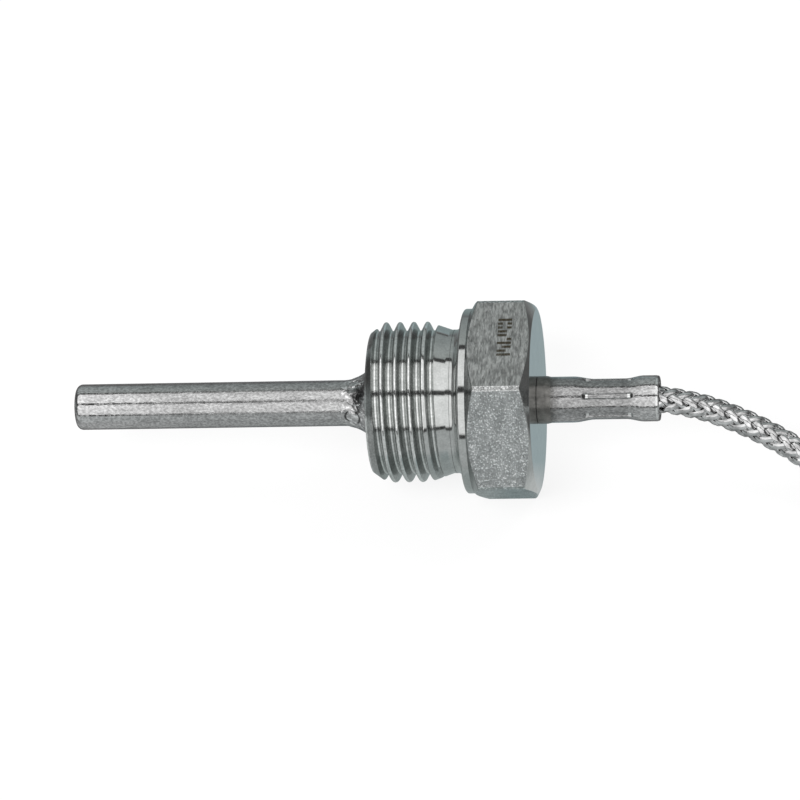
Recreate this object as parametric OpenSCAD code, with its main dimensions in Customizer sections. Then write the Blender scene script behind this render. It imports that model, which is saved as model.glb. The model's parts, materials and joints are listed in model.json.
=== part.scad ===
// Screw-in resistance thermometer: a closed stainless tube, welded into a
// hexagon fitting with a pipe thread and crimped onto a braided cable.
// The tube's axis is +X, towards the cable. X = 0 is the sealing shoulder
// of the hexagon, and the part lies on one flat of the hexagon, in +Z up.

/* [Probe tube] */
// Outside diameter of the probe tube
tube_d = 6; // [5.6:0.2:8]
// Wall of the probe tube
tube_wall = 0.5; // [0.3:0.05:0.6]
// Length from the sealing shoulder to the closed tip
insertion_len = 51.6; // [50:0.2:120]
// Length that the tube stands out behind the hexagon
rear_len = 15.9; // [15.6:0.1:30]
// Break of the tube's edges at the mouth
mouth_edge = 0.18; // [0.05:0.01:0.25]

/* [Closed tip] */
// Thickness of the end plug ahead of the tube
plug_len = 1.5; // [1.2:0.1:3]
// Depth of the plug's spigot inside the tube
plug_spigot_len = 1.5; // [0.5:0.1:3]
// Radius round the tip's edge
tip_round = 0.8; // [0.3:0.05:1.1]
// Width of the weld's last drop on the tip
tip_drop_d = 1.5; // [0.8:0.1:2.4]
// Height of the weld's last drop
tip_drop_h = 0.22; // [0.1:0.01:0.5]
// Distance of the drop from the axis
tip_drop_out = 0.57; // [0:0.01:0.8]
// Turn of the drop round the axis, from level
tip_drop_turn = 37; // [0:1:360]
// Chamfer on the plug's inner end
plug_edge = 0.2; // [0.1:0.05:0.4]

/* [Pipe thread] */
// Outside diameter of the thread
thread_d = 20.955; // [16:0.005:26]
// Pitch of the thread
thread_pitch = 1.814; // [1.2:0.002:2.2]
// Length from the shoulder to the thread's free end
thread_len = 12.2; // [11:0.1:20]
// Step from the thread's root down to its free end
thread_end_step = 0.12; // [0.05:0.01:0.4]
// Length of the lead-in chamfer
thread_lead = 1.6; // [0.8:0.1:2.4]

/* [Relief groove] */
// Height of the groove's bottom above the thread's root
relief_rise = 0.05; // [0:0.01:0.2]
// Drop from the thread's crest to the start of the groove's cone
relief_drop = 0.48; // [0.3:0.02:0.8]
// Length of the relief groove, from the shoulder
relief_len = 3.52; // [2.6:0.02:4]
// Length of the groove's cone
relief_cone_len = 1.8; // [0.8:0.1:2]
// Fillet between the groove and the shoulder
relief_fillet = 0.75; // [0.3:0.05:0.8]

/* [Hexagon] */
// Width across the flats
hex_af = 24.5; // [22:0.5:30]
// Length of the hexagon, with its collar
hex_len = 9.4; // [7:0.1:16]
// Depth that the sharp corners are turned down
corner_cut = 0.16; // [0.05:0.01:0.6]
// Step from the flats down to the round collar
collar_step = 0.2; // [0.05:0.05:0.6]
// Length of the round collar
collar_len = 1.1; // [0.4:0.1:2]
// Step from the flats in to the edge of the rear face
rear_face_step = 0.4; // [0.05:0.05:1]
// Angle of the hexagon's front chamfer
hex_chamfer = 30; // [15:1:40]
// Angle of the hexagon's rear chamfer
rear_chamfer = 26; // [15:1:40]
// Break of the collar's edge
collar_edge = 0.2; // [0.1:0.05:0.4]
// Gap between the tube and the fitting's bore
bore_gap = 0.03; // [0.01:0.01:0.1]

/* [Welds] */
// Length of the flared weld ahead of the thread
front_weld_len = 4; // [2:0.1:4.5]
// Radius of the weld's hollow curve
front_weld_curve = 5; // [4.5:0.1:9]
// Length of the weld bead behind the hexagon
rear_weld_len = 1.8; // [0.8:0.1:2.4]
// Height of the weld bead behind the hexagon
rear_weld_h = 0.27; // [0.1:0.01:0.5]
// Depth to which both welds melt into the tube's wall
weld_bite = 0.2; // [0.16:0.01:0.25]

/* [Crimp] */
// Distance from the mouth back to the end of the waist
waist_back = 4.5; // [3.2:0.1:5]
// Length of the waist
waist_len = 3.9; // [3:0.1:5]
// Length of the curve from the tube to the waist
waist_in = 2.9; // [1.5:0.1:3]
// Length of the curve from the waist to the mouth
waist_out = 2.5; // [1.5:0.1:3]
// Number of crimp grooves round the tube
crimp_count = 6; // [3:1:6]
// Length of each crimp groove
crimp_len = 6.65; // [4:0.05:7]
// Width of each crimp groove
crimp_w = 0.8; // [0.5:0.05:1.1]
// Depth of each groove below the waist
crimp_depth = 0.22; // [0.1:0.01:0.3]
// Shift of the grooves from the waist's middle, towards the hexagon
crimp_shift = 0.2; // [0:0.05:0.5]
// Turn of the grooves, from straight down
crimp_turn = 28; // [0:1:60]

/* [Sensing element] */
// Diameter of the ceramic element
element_d = 2.8; // [1.6:0.1:3.2]
// Length of the ceramic element
element_len = 15; // [8:0.5:16]
// Bedding between the plug's spigot and the element
element_gap = 1; // [0.5:0.1:2]
// Diameter of the element's lead wires
element_lead_d = 0.3; // [0.2:0.02:0.4]
// Length of the element's lead wires
element_lead_len = 4.2; // [3.8:0.1:5]
// Length of the bedding behind the element
bedding_back = 2.2; // [1:0.1:2.6]

/* [Wires in the tube] */
// Diameter of the bare wires
wire_d = 0.5; // [0.4:0.02:0.6]
// Length of the joints between the wires
joint_len = 4; // [2:0.1:5]
// Wall of the sleeves over the joints
joint_sleeve_wall = 0.1; // [0.05:0.01:0.15]
// Gap between the two joint sleeves
joint_sleeve_gap = 0.1; // [0.05:0.01:0.15]
// Length that a sleeve reaches past its joint
joint_sleeve_past = 0.6; // [0.3:0.1:0.9]
// Gap between the ceramic spacer and the tube
spacer_side_gap = 0.25; // [0.1:0.05:0.5]
// Length of the ceramic spacer
spacer_len = 17; // [8:0.5:18]
// Gap between the joints and the ceramic spacer
spacer_gap = 1.2; // [1:0.1:2]
// Play of the bare wires in the spacer
spacer_play = 0.03; // [0.01:0.01:0.06]

/* [Cable end in the tube] */
// Diameter of one insulated core
core_d = 0.96; // [0.9:0.02:1]
// Gap between neighbouring cores
core_gap = 0.04; // [0.02:0.01:0.1]
// Length of the insulated cores ahead of the jacket
core_len = 14; // [12:0.5:16]
// Length of the jacket inside the tube
jacket_len = 11.6; // [10:0.1:12]
// Gap between the cores and the cable's jacket
jacket_gap = 0.02; // [0.01:0.01:0.1]
// Thickness of the wire braid
braid_wall = 0.2; // [0.1:0.01:0.3]
// Length of the braid inside the tube
braid_len = 9.4; // [7.8:0.1:10]
// Length of the liner under the crimp
liner_len = 7.6; // [6:0.1:7.8]
// Wall of the liner under the crimp
liner_wall = 0.18; // [0.1:0.01:0.3]
// Length of the seal round the cores
seal_len = 7; // [3:0.5:8]
// Distance from the mouth back to where the cable hangs free
free_back = 3.2; // [2.6:0.1:3.2]

/* [Cable] */
// Outside diameter of the braided cable
cable_d = 3.5; // [3.2:0.05:3.8]
// Length of the cable's turned end on the hank
tail_len = 30; // [20:1:34]
// Diameter of the end sleeve
end_sleeve_d = 4; // [3.8:0.1:5]
// Length of the end sleeve
end_sleeve_len = 8; // [5:0.5:10]
// Diameter of the loose lead wires
lead_d = 1; // [0.8:0.05:1]
// Length of the loose lead wires
lead_len = 16; // [10:1:17]
// Length of the wire ferrules
ferrule_len = 5; // [4:0.5:6]
// Diameter of the wire ferrules
ferrule_d = 0.8; // [0.6:0.05:0.95]

/* [Hank] */
// Start of the hank's straight runs, along X
hank_start = 63; // [60:1:70]
// Length of the hank's runs
hank_run = 52; // [50:1:56]
// Radius of the inner end loops, at the cable's centre
hank_loop_r = 10.2; // [10.2:0.1:12]
// Thickness of the tie's strip
tie_thick = 0.5; // [0.3:0.05:0.8]
// Width of the tie's strip
tie_w = 4; // [2:0.5:6]
// Length of the tie's twisted ends
tie_end_len = 9; // [5:0.5:12]

/* [Hidden] */

$fn = 96;
EPS = 0.01;

// Places along the axis, from the tip to the mouth
tip_x = -insertion_len;
tube_front_x = tip_x + plug_len;
spigot_end_x = tube_front_x + plug_spigot_len;
element_x = spigot_end_x + element_gap;
element_end_x = element_x + element_len;
bedding_end_x = element_end_x + bedding_back;
joint_x = element_end_x + element_lead_len;
joint_end_x = joint_x + joint_len;
spacer_x = joint_end_x + spacer_gap;
thread_end_x = -thread_len;
front_weld_x = thread_end_x - front_weld_len;
rear_weld_end_x = hex_len + rear_weld_len;
mouth_x = hex_len + rear_len;
waist_end_x = mouth_x - waist_back;
waist_x = waist_end_x - waist_len;
crimp_mid_x = (waist_x + waist_end_x) / 2 - crimp_shift;
free_x = mouth_x - free_back;
jacket_x = free_x - jacket_len;
core_x = jacket_x - core_len;
braid_x = free_x - braid_len;
liner_x = free_x - liner_len;
seal_x = jacket_x - seal_len;

// Radii of the tube, and of what the crimp holds, from the cable outwards
tube_r = tube_d / 2;
tube_bore_r = tube_r - tube_wall;
fitting_bore_r = tube_r + bore_gap;
weld_r = tube_r - weld_bite;
cable_r = cable_d / 2;
crimp_inner_r = cable_r + liner_wall;
crimp_floor_r = crimp_inner_r + tube_wall;
waist_r = crimp_floor_r + crimp_depth;

// The wires stand on the corners of a square, two on each side
wire_pitch = core_d + core_gap;
wire_sides = [-wire_pitch / 2, wire_pitch / 2];
joint_w = wire_pitch - 2 * joint_sleeve_wall - joint_sleeve_gap;
spacer_r = tube_bore_r - spacer_side_gap;
jacket_r = cable_r - braid_wall;
jacket_bore_r = wire_pitch / sqrt(2) + core_d / 2 + jacket_gap;

// Whitworth form with its crests and roots cut to narrow lands
thread_r = thread_d / 2;
half_flank = 27.5;
depth_share = 0.6403;
flank_tan = tan(half_flank);
thread_depth = depth_share * thread_pitch;
root_r = thread_r - thread_depth;
thread_end_r = root_r - thread_end_step;
flank_len = thread_depth * flank_tan;
crest_half = (thread_pitch / 2 - flank_len) / 2;
ridge_len = thread_len - thread_lead - relief_len - crest_half - flank_len;
ridge_count = floor(ridge_len / thread_pitch) + 1;
relief_r = root_r + relief_rise;
relief_cone_r = thread_r - relief_drop;

// The hexagon's turned forms
hex_corner_r = hex_af / 2 / cos(30) - corner_cut;
collar_r = hex_af / 2 - collar_step;
rear_face_r = hex_af / 2 - rear_face_step;

// Levels and rows of the hank
floor_z = -hex_af / 2;
hank_z = floor_z + tie_thick;
layer_z = [for (i = [0:2]) hank_z + cable_r + i * cable_d];
row_r = [hank_loop_r, hank_loop_r + cable_d];
hank_end = hank_start + hank_run;
hank_mid = hank_start + hank_run / 2;
// The tie draws the two sides together until they almost touch
pinch = hank_loop_r - cable_r - 0.1;
cord_sides = 8;
tail_end_x = hank_start + tail_len;
sleeve_end_x = tail_end_x + end_sleeve_len;
sleeve_z = layer_z[2] + end_sleeve_d / 2 - cable_r;
leads_end_x = sleeve_end_x + lead_len;
lead_gap = 0.1;
lead_z = layer_z[1] + cable_r + lead_gap + lead_d / 2;
tie_half = row_r[1] + cable_r - pinch;
tie_top = hank_z + 3 * cable_d;
tie_play = 0.05;
tie_corner_r = 1;
tie_knot_h = 1.2;
tie_knot_r = 1.1;
tie_end_r = 0.8;

// The cable's way from the crimp down to the hank
CABLE_ROUTE = [
  [free_x, 0, 0], [free_x + 1, 0, 0], [25.4, 0, -0.3], [28.4, 0, -1.2],
  [32, -0.2, -2.6], [37, -1.4, -4.5], [42, -3.5, -6.3], [46, -6, -7.7],
  [48.5, -7.9, -8.5]
];

// ---- Small helpers ----

// Turns a shape drawn along +Z so that it lies along +X
module along_x() rotate([0, 90, 0]) children();

// A ring or rod about the axis, from x0 to x1
module rod(x0, x1, r) along_x() translate([0, 0, x0]) cylinder(h = x1 - x0, r = r);

module ring(x0, x1, r_out, r_in) difference() {
  rod(x0, x1, r_out);
  rod(x0 - 1, x1 + 1, r_in);
}

// One rod beside the axis, at y and z
module side_rod(x0, x1, r, y, z) translate([0, y, z]) rod(x0, x1, r);

// A flat slot outline with round ends, along X
module slot_outline(len, w) {
  square([len - w, w], center = true);
  for (s = [-1, 1]) translate([s * (len - w) / 2, 0]) circle(d = w);
}

// A half wave from 0 to 1, for soft changes of width
function half_wave(t) = (1 - cos(180 * t)) / 2;

// Points [r, x] of a soft change from r0 to r1
function soft_step(r0, r1, x0, x1, n = 8) =
  [for (i = [0:n]) [r0 + (r1 - r0) * half_wave(i / n), x0 + (x1 - x0) * i / n]];

function reversed(list) = [for (i = [len(list) - 1:-1:0]) list[i]];

// ---- Tube and tip ----

// Outer line of the tube, as [r, x] from front to mouth
function tube_line() = concat(
  [[tube_r, tube_front_x]],
  soft_step(tube_r, waist_r, waist_x - waist_in, waist_x),
  soft_step(waist_r, tube_r, waist_end_x, waist_end_x + waist_out)
);

module tube_solid() along_x() rotate_extrude() polygon(concat(
  [[0, tube_front_x]],
  tube_line(),
  [[tube_r, mouth_x - mouth_edge], [tube_r - mouth_edge, mouth_x], [0, mouth_x]]
));

module tube_hollow() along_x() rotate_extrude() polygon(concat(
  [[0, tube_front_x - EPS]],
  [[tube_bore_r, tube_front_x - EPS]],
  [for (p = tube_line()) if (p[1] > tube_front_x) [p[0] - tube_wall, p[1]]],
  [[tube_bore_r, mouth_x - mouth_edge], [tube_bore_r + mouth_edge, mouth_x]],
  [[tube_bore_r + mouth_edge, mouth_x + 1], [0, mouth_x + 1]]
));

// Bars that stand out along the tube's crimp grooves
module crimp_bars(from_r, to_r, len, w)
  for (i = [0:crimp_count - 1])
    along_x() rotate([0, 0, crimp_turn + i * 360 / crimp_count])
      translate([from_r, 0, crimp_mid_x]) rotate([0, 90, 0])
        linear_extrude(to_r - from_r) slot_outline(len, w);

// The metal that each groove presses into the tube
module crimp_ridges() difference() {
  intersection() {
    crimp_bars(crimp_inner_r / 2, tube_r, crimp_len + tube_wall, crimp_w + tube_wall);
    tube_solid();
  }
  rod(hex_len, mouth_x, crimp_inner_r);
}

module probe_tube() color("silver") difference() {
  union() {
    difference() {
      tube_solid();
      tube_hollow();
    }
    crimp_ridges();
  }
  crimp_bars(crimp_floor_r, tube_d, crimp_len, crimp_w);
  ring(front_weld_x, thread_end_x, tube_d, weld_r);
  ring(hex_len, rear_weld_end_x, tube_d, weld_r);
}

module end_plug() color("gainsboro") union() {
  along_x() rotate_extrude() polygon(concat(
    [[0, tip_x]],
    [for (a = [0:10:90]) [
      tube_r - tip_round + tip_round * sin(a), tip_x + tip_round - tip_round * cos(a)
    ]],
    [[tube_r, tube_front_x], [tube_bore_r, tube_front_x]],
    [[tube_bore_r, spigot_end_x - plug_edge], [tube_bore_r - plug_edge, spigot_end_x]],
    [[0, spigot_end_x]]
  ));
  // The weld's last drop stands beside the axis
  rotate([tip_drop_turn, 0, 0]) translate([0, tip_drop_out, 0]) along_x() rotate_extrude()
    polygon(concat(
      [[0, tip_x + tip_drop_h], [0, tip_x - tip_drop_h]],
      [for (a = [15:15:90]) [
        tip_drop_d / 2 * sin(a), tip_x - tip_drop_h * cos(a)
      ]],
      [[tip_drop_d / 2, tip_x + tip_drop_h]]
    ));
}

// ---- Process fitting ----

// Line of the thread's ridges, as [r, x] from the free end to the relief
function ridge_line() = [
  for (i = [0:ridge_count - 1], p = [
    [root_r, -crest_half - flank_len], [thread_r, -crest_half],
    [thread_r, crest_half], [root_r, crest_half + flank_len]
  ]) [p[0], thread_end_x + thread_lead + crest_half + i * thread_pitch + p[1]]
];

module threaded_body() along_x() rotate_extrude() polygon(concat(
  [[0, thread_end_x], [thread_end_r, thread_end_x]],
  [[root_r, thread_end_x + thread_end_step]],
  ridge_line(),
  [[root_r, -relief_len - (relief_cone_r - root_r) * flank_tan]],
  [[relief_cone_r, -relief_len]],
  [[relief_r, relief_cone_len - relief_len]],
  [for (a = [0:15:90]) [
    relief_r + relief_fillet * (1 - cos(a)), relief_fillet * (sin(a) - 1)
  ]],
  [[relief_r + relief_fillet, collar_len], [0, collar_len]]
));

module hexagon() intersection() {
  along_x() rotate([0, 0, 30])
    cylinder(h = hex_len, d = hex_af / cos(30), $fn = 6);
  along_x() rotate_extrude() polygon([
    [0, 0],
    [collar_r - collar_edge, 0],
    [collar_r, collar_edge],
    [collar_r, collar_len],
    [hex_corner_r, collar_len + (hex_corner_r - collar_r) * tan(hex_chamfer)],
    [hex_corner_r, hex_len - (hex_corner_r - rear_face_r) * tan(rear_chamfer)],
    [rear_face_r, hex_len],
    [0, hex_len]
  ]);
}

module process_fitting() color("lightslategray") difference() {
  union() {
    threaded_body();
    hexagon();
  }
  rod(thread_end_x - 1, hex_len + 1, fitting_bore_r);
}

// ---- Welds ----

// Both welds fill the shallow ring that they melt into the tube
module front_weld() color("darkgray") along_x() rotate_extrude() polygon(concat(
  [[weld_r, thread_end_x], [weld_r, front_weld_x]],
  [for (i = [0:12]) let (x = front_weld_len * i / 12) [
    tube_r + front_weld_curve - sqrt(pow(front_weld_curve, 2) - x * x), front_weld_x + x
  ]]
));

module rear_weld() color("darkgray") along_x() rotate_extrude() polygon(concat(
  [[weld_r, hex_len], [tube_r + rear_weld_h, hex_len]],
  soft_step(tube_r + rear_weld_h, tube_r, hex_len + rear_weld_len / 3, rear_weld_end_x),
  [[weld_r, rear_weld_end_x]]
));

// ---- Sensor inside the tube ----

module sensing_element() color("ivory") rod(element_x, element_end_x, element_d / 2);

module element_leads() color("silver")
  for (y = wire_sides) side_rod(element_end_x, joint_x, element_lead_d / 2, y, 0);

module element_bedding() color("wheat") difference() {
  rod(spigot_end_x, bedding_end_x, tube_bore_r);
  rod(element_x, element_end_x, element_d / 2);
  for (y = wire_sides)
    side_rod(element_end_x - EPS, joint_x, element_lead_d / 2, y, 0);
}

// Upright bars with round edges, one for each pair of wires
module joint_bars(x0, x1, w) for (y = wire_sides)
  translate([x0, y, 0]) rotate([0, 90, 0])
    linear_extrude(x1 - x0) slot_outline(wire_pitch + w, w);

module wire_joints() color("goldenrod") joint_bars(joint_x, joint_end_x, joint_w);

module joint_sleeves() color("khaki") difference() {
  joint_bars(
    joint_x - joint_sleeve_past, joint_end_x + joint_sleeve_past,
    joint_w + 2 * joint_sleeve_wall
  );
  joint_bars(joint_x - joint_sleeve_past - 1, joint_end_x + joint_sleeve_past + 1, joint_w);
}

module ceramic_spacer() color("white") difference() {
  rod(spacer_x, spacer_x + spacer_len, spacer_r);
  for (y = wire_sides, z = wire_sides)
    side_rod(spacer_x - 1, spacer_x + spacer_len + 1, wire_d / 2 + spacer_play, y, z);
}

module bare_wires() color("silver") for (y = wire_sides, z = wire_sides)
  side_rod(joint_end_x, core_x, wire_d / 2, y, z);

module cores(y) for (z = wire_sides) side_rod(core_x, free_x, core_d / 2, y, z);

module red_cores() color("firebrick") cores(wire_sides[1]);

module white_cores() color("whitesmoke") cores(wire_sides[0]);

module cable_seal() color("dimgray") difference() {
  rod(seal_x, jacket_x, tube_bore_r);
  for (y = wire_sides, z = wire_sides)
    side_rod(seal_x - 1, jacket_x + 1, core_d / 2, y, z);
}

// ---- Cable end held by the crimp ----

module cable_jacket() color("sienna") ring(jacket_x, free_x, jacket_r, jacket_bore_r);

module cable_braid() color("lightgray") ring(braid_x, free_x, cable_r, jacket_r);

module crimp_liner() color("black") ring(liner_x, free_x, crimp_inner_r, cable_r);

// ---- Free cable ----

// A tube swept along hand-set points, with flat ends square to the route
function unit(v) = v / norm(v);

function way(pts, i) = unit(pts[min(i + 1, len(pts) - 1)] - pts[max(i - 1, 0)]);

function section(p, t, r, sides) = let (
  across = unit(cross(t, [0, 0, 1])),
  up = cross(across, t)
) [for (k = [0:sides - 1]) p + r * (
  across * cos(360 * k / sides) + up * sin(360 * k / sides)
)];

module swept(pts, r, sides = cord_sides) {
  n = len(pts);
  points = [for (i = [0:n - 1]) each section(pts[i], way(pts, i), r, sides)];
  walls = [for (i = [0:n - 2], k = [0:sides - 1]) let (j = (k + 1) % sides)
    [i * sides + k, i * sides + j, (i + 1) * sides + j, (i + 1) * sides + k]];
  caps = [
    [for (k = [sides - 1:-1:0]) k],
    [for (k = [0:sides - 1]) (n - 1) * sides + k]
  ];
  polyhedron(points = points, faces = concat(walls, caps), convexity = 4);
}

module cable() color("lightgray") swept(CABLE_ROUTE, cable_r);

// How far the tie draws a run in, at a place along the hank
function drawn_in(x) = pinch * half_wave(2 * (x - hank_start) / hank_run);

// One side of the hank's outline, from the left loop to the right one
function run_side(r, side, n = 20) = [for (i = [0:n])
  let (x = hank_start + hank_run * i / n) [x, side * (r - drawn_in(x))]];

function end_loop(x, r, a0, a1, n = 16) = [for (i = [1:n - 1])
  let (a = a0 + (a1 - a0) * i / n) [x + r * cos(a), r * sin(a)]];

module hank_outline(r) polygon(concat(
  run_side(r, 1),
  end_loop(hank_end, r, 90, -90),
  reversed(run_side(r, -1)),
  end_loop(hank_start, r, -90, -270)
));

// The space inside the top layer, where the inner row has only its first loop
module top_layer_hole(inner, middle, outer) {
  hank_outline(inner);
  intersection() {
    hank_outline(middle);
    translate([hank_start, -outer]) square([hank_run + outer, 2 * outer]);
  }
}

// Two full layers of two rows, and an outer row on top with one loop of the inner
module cable_hank() color("lightgray") {
  inner = row_r[0] - cable_r;
  middle = row_r[0] + cable_r;
  outer = row_r[1] + cable_r;
  translate([0, 0, hank_z]) linear_extrude(2 * cable_d) difference() {
    hank_outline(outer);
    hank_outline(inner);
  }
  translate([0, 0, hank_z + 2 * cable_d]) linear_extrude(cable_d) difference() {
    hank_outline(outer);
    top_layer_hole(inner, middle, outer);
  }
}

// The cable's last stretch lies on the inner row and follows its curve
function on_inner_row(x, out, z) = [x, -(row_r[0] - drawn_in(x)) + out, z];

module cable_tail() color("lightgray") swept(
  [for (i = [0:6]) on_inner_row(hank_start + tail_len * i / 6, 0, layer_z[2])],
  cable_r
);

module end_sleeve() color("black") swept(
  [for (i = [0:3])
    on_inner_row(tail_end_x + end_sleeve_len * i / 3, 0, sleeve_z)],
  end_sleeve_d / 2, 16
);

// Four leads leave the sleeve side by side and in two levels, and spread a little
function lead_line(x0, x1, side, level, n = 4) = [for (i = [0:n]) let (
  x = x0 + (x1 - x0) * i / n,
  out = (lead_d + lead_gap) / 2 * (1 + (x - sleeve_end_x) / lead_len / 3)
) on_inner_row(x, side * out, lead_z + level * (lead_d + lead_gap))];

module leads(side) for (level = [0, 1])
  swept(lead_line(sleeve_end_x, leads_end_x, side, level), lead_d / 2);

module red_leads() color("firebrick") leads(1);

module white_leads() color("whitesmoke") leads(-1);

module wire_ferrules() color("silver") for (side = [-1, 1], level = [0, 1]) {
  line = lead_line(sleeve_end_x, leads_end_x, side, level);
  last = line[len(line) - 1];
  swept([last, last + ferrule_len * way(line, len(line) - 1)], ferrule_d / 2);
}

// ---- Tie ----

// A box with round corners, grown from the outline of the drawn-in hank
module tie_loop(grow) translate([0, (hank_z + tie_top) / 2]) {
  w = 2 * (tie_half + grow - tie_corner_r);
  h = tie_top - hank_z + 2 * (grow - tie_corner_r);
  square([w, h + 2 * tie_corner_r], center = true);
  square([w + 2 * tie_corner_r, h], center = true);
  for (a = [-1, 1], b = [-1, 1])
    translate([a * w / 2, b * h / 2]) circle(r = tie_corner_r, $fn = 32);
}

module hank_tie() color("black") {
  translate([hank_mid - tie_w / 2, 0, 0]) rotate([90, 0, 90])
    linear_extrude(tie_w) difference() {
      tie_loop(tie_thick);
      tie_loop(tie_play);
    }
  // The twisted ends lie on the hank
  translate([hank_mid, tie_half / 2, tie_top + tie_thick / 2]) {
    cylinder(h = tie_knot_h, r = tie_knot_r, $fn = 24);
    translate([0, 0, tie_knot_h]) rotate([90, 0, 75]) translate([0, 0, -tie_end_len / 2])
      cylinder(h = tie_end_len, r = tie_end_r, $fn = 24);
  }
}

// ---- Assembly ----

probe_tube();
end_plug();
process_fitting();
front_weld();
rear_weld();
sensing_element();
element_leads();
element_bedding();
wire_joints();
joint_sleeves();
ceramic_spacer();
bare_wires();
red_cores();
white_cores();
cable_seal();
cable_jacket();
cable_braid();
crimp_liner();
cable();
cable_hank();
cable_tail();
hank_tie();
end_sleeve();
red_leads();
white_leads();
wire_ferrules();
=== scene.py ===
# %% [markdown]
# # A screw-in resistance thermometer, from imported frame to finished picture
#
# The object is a stainless steel temperature probe. A closed 6 mm tube runs
# through a hexagon fitting with a pipe thread, and its rear end is crimped
# onto a cable with a woven wire braid. Every solid already exists as a
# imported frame, in metres, with +X along the tube and X = 0 at the sealing
# shoulder. This file dresses that frame: it never moves or resizes it.

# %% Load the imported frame
import json
import math

import bmesh
import bpy
import numpy as np
from mathutils import Matrix, Vector, noise


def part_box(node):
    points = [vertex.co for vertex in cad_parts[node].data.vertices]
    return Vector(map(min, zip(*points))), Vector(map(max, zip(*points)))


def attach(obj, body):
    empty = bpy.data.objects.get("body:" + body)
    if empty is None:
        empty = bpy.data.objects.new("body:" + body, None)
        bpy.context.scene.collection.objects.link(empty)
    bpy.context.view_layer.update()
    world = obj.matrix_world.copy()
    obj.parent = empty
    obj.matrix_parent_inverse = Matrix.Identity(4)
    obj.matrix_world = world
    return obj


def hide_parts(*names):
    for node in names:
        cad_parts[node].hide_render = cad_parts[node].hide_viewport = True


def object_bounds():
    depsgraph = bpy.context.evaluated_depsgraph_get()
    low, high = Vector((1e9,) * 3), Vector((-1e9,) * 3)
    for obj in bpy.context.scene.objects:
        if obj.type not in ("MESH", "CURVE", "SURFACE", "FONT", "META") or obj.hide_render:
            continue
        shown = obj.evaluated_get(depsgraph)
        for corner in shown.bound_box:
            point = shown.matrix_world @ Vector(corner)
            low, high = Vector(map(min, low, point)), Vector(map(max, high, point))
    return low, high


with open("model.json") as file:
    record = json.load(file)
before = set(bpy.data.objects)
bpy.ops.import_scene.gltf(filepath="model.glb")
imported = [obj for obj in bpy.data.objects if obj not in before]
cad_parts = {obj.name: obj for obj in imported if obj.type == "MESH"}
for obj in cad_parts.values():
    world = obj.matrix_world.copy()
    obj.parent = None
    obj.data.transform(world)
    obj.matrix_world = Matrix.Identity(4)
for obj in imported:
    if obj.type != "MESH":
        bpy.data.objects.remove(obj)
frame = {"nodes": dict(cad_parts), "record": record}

MM = 0.001
cad_low, cad_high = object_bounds()
print("nodes:", len(frame["nodes"]), "box, mm:", [round(s / MM, 1) for s in cad_high - cad_low])

# %% [markdown]
# ## Sizes that everything is worked out from
#
# Most sizes are read from the frame: the box of a node gives its ends and
# its radius. The record's mounts give the exact radius of the thread and of
# the tube. Only forms that a box can't tell, such as the pitch of the
# thread, are written down here, with the values that the solids have.

# %% Driving sizes
mounts = {m["name"]: m for m in frame["record"]["mounts"]}
thread_r = mounts["process_thread"]["dims"]["r_mm"] * MM
tube_r = mounts["stem"]["dims"]["r_mm"] * MM
plug_low, plug_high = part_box("end_plug")
tube_low, tube_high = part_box("probe_tube")
fitting_low, fitting_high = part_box("process_fitting")
front_weld_low, front_weld_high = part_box("front_weld")
rear_weld_low, rear_weld_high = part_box("rear_weld")
floor_z = cad_low.z
hex_af = 2 * fitting_high.z
hex_len = fitting_high.x
mouth_x = tube_high.x
cable_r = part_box("cable_braid")[1].y
tube_wall = 0.5 * MM
TUBE_GAP = 0.03 * MM

print("hexagon", round(hex_af / MM, 2), "tube", round(2 * tube_r / MM, 2),
      "cable", round(2 * cable_r / MM, 2))

# %% [markdown]
# ## The camera
#
# A long lens from 0.6 m away flattens the part, as in a catalogue picture.
# The camera stands in front of the part and well above it, and it is rolled
# so that the tube's axis runs almost level, rising a little to the right.

# %% Camera
CAMERA_AZIMUTH = math.radians(12.2)
CAMERA_ELEVATION = math.radians(53.0)
CAMERA_DISTANCE = 0.6
CAMERA_LENS = 206.6
AXIS_RISE = math.radians(0.9)
AIM_X = -8.75 * MM
AIM_ABOVE = 0.29 * MM


def placed(name, data):
    """A new object in the scene."""
    made = bpy.data.objects.new(name, data)
    bpy.context.collection.objects.link(made)
    return made


back = Vector((
    math.sin(CAMERA_AZIMUTH) * math.cos(CAMERA_ELEVATION),
    -math.cos(CAMERA_AZIMUTH) * math.cos(CAMERA_ELEVATION),
    math.sin(CAMERA_ELEVATION),
))
axis_seen = (Vector((1, 0, 0)) - back * back.x).normalized()
axis_normal = back.cross(axis_seen)
screen_right = axis_seen * math.cos(AXIS_RISE) - axis_normal * math.sin(AXIS_RISE)
screen_up = back.cross(screen_right)

camera_data = bpy.data.cameras.new("camera")
camera_data.lens = CAMERA_LENS
camera_data.clip_end = 10
camera = placed("camera", camera_data)
camera.rotation_euler = Matrix((screen_right, screen_up, back)).transposed().to_euler()
camera.location = Vector((AIM_X, 0, 0)) + screen_up * AIM_ABOVE + back * CAMERA_DISTANCE
bpy.context.scene.camera = camera
print("camera at, mm:", [round(v / MM) for v in camera.location])

# %% [markdown]
# ## Meshes from rings
#
# Nearly every piece here is turned or drawn, so one helper carries them all.
# It takes a grid of points, one ring for each place along the piece, and
# joins neighbouring rings with four-sided faces. Points that fall together,
# as at the tip of a rod, are welded, and the normals are turned outwards.

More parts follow.
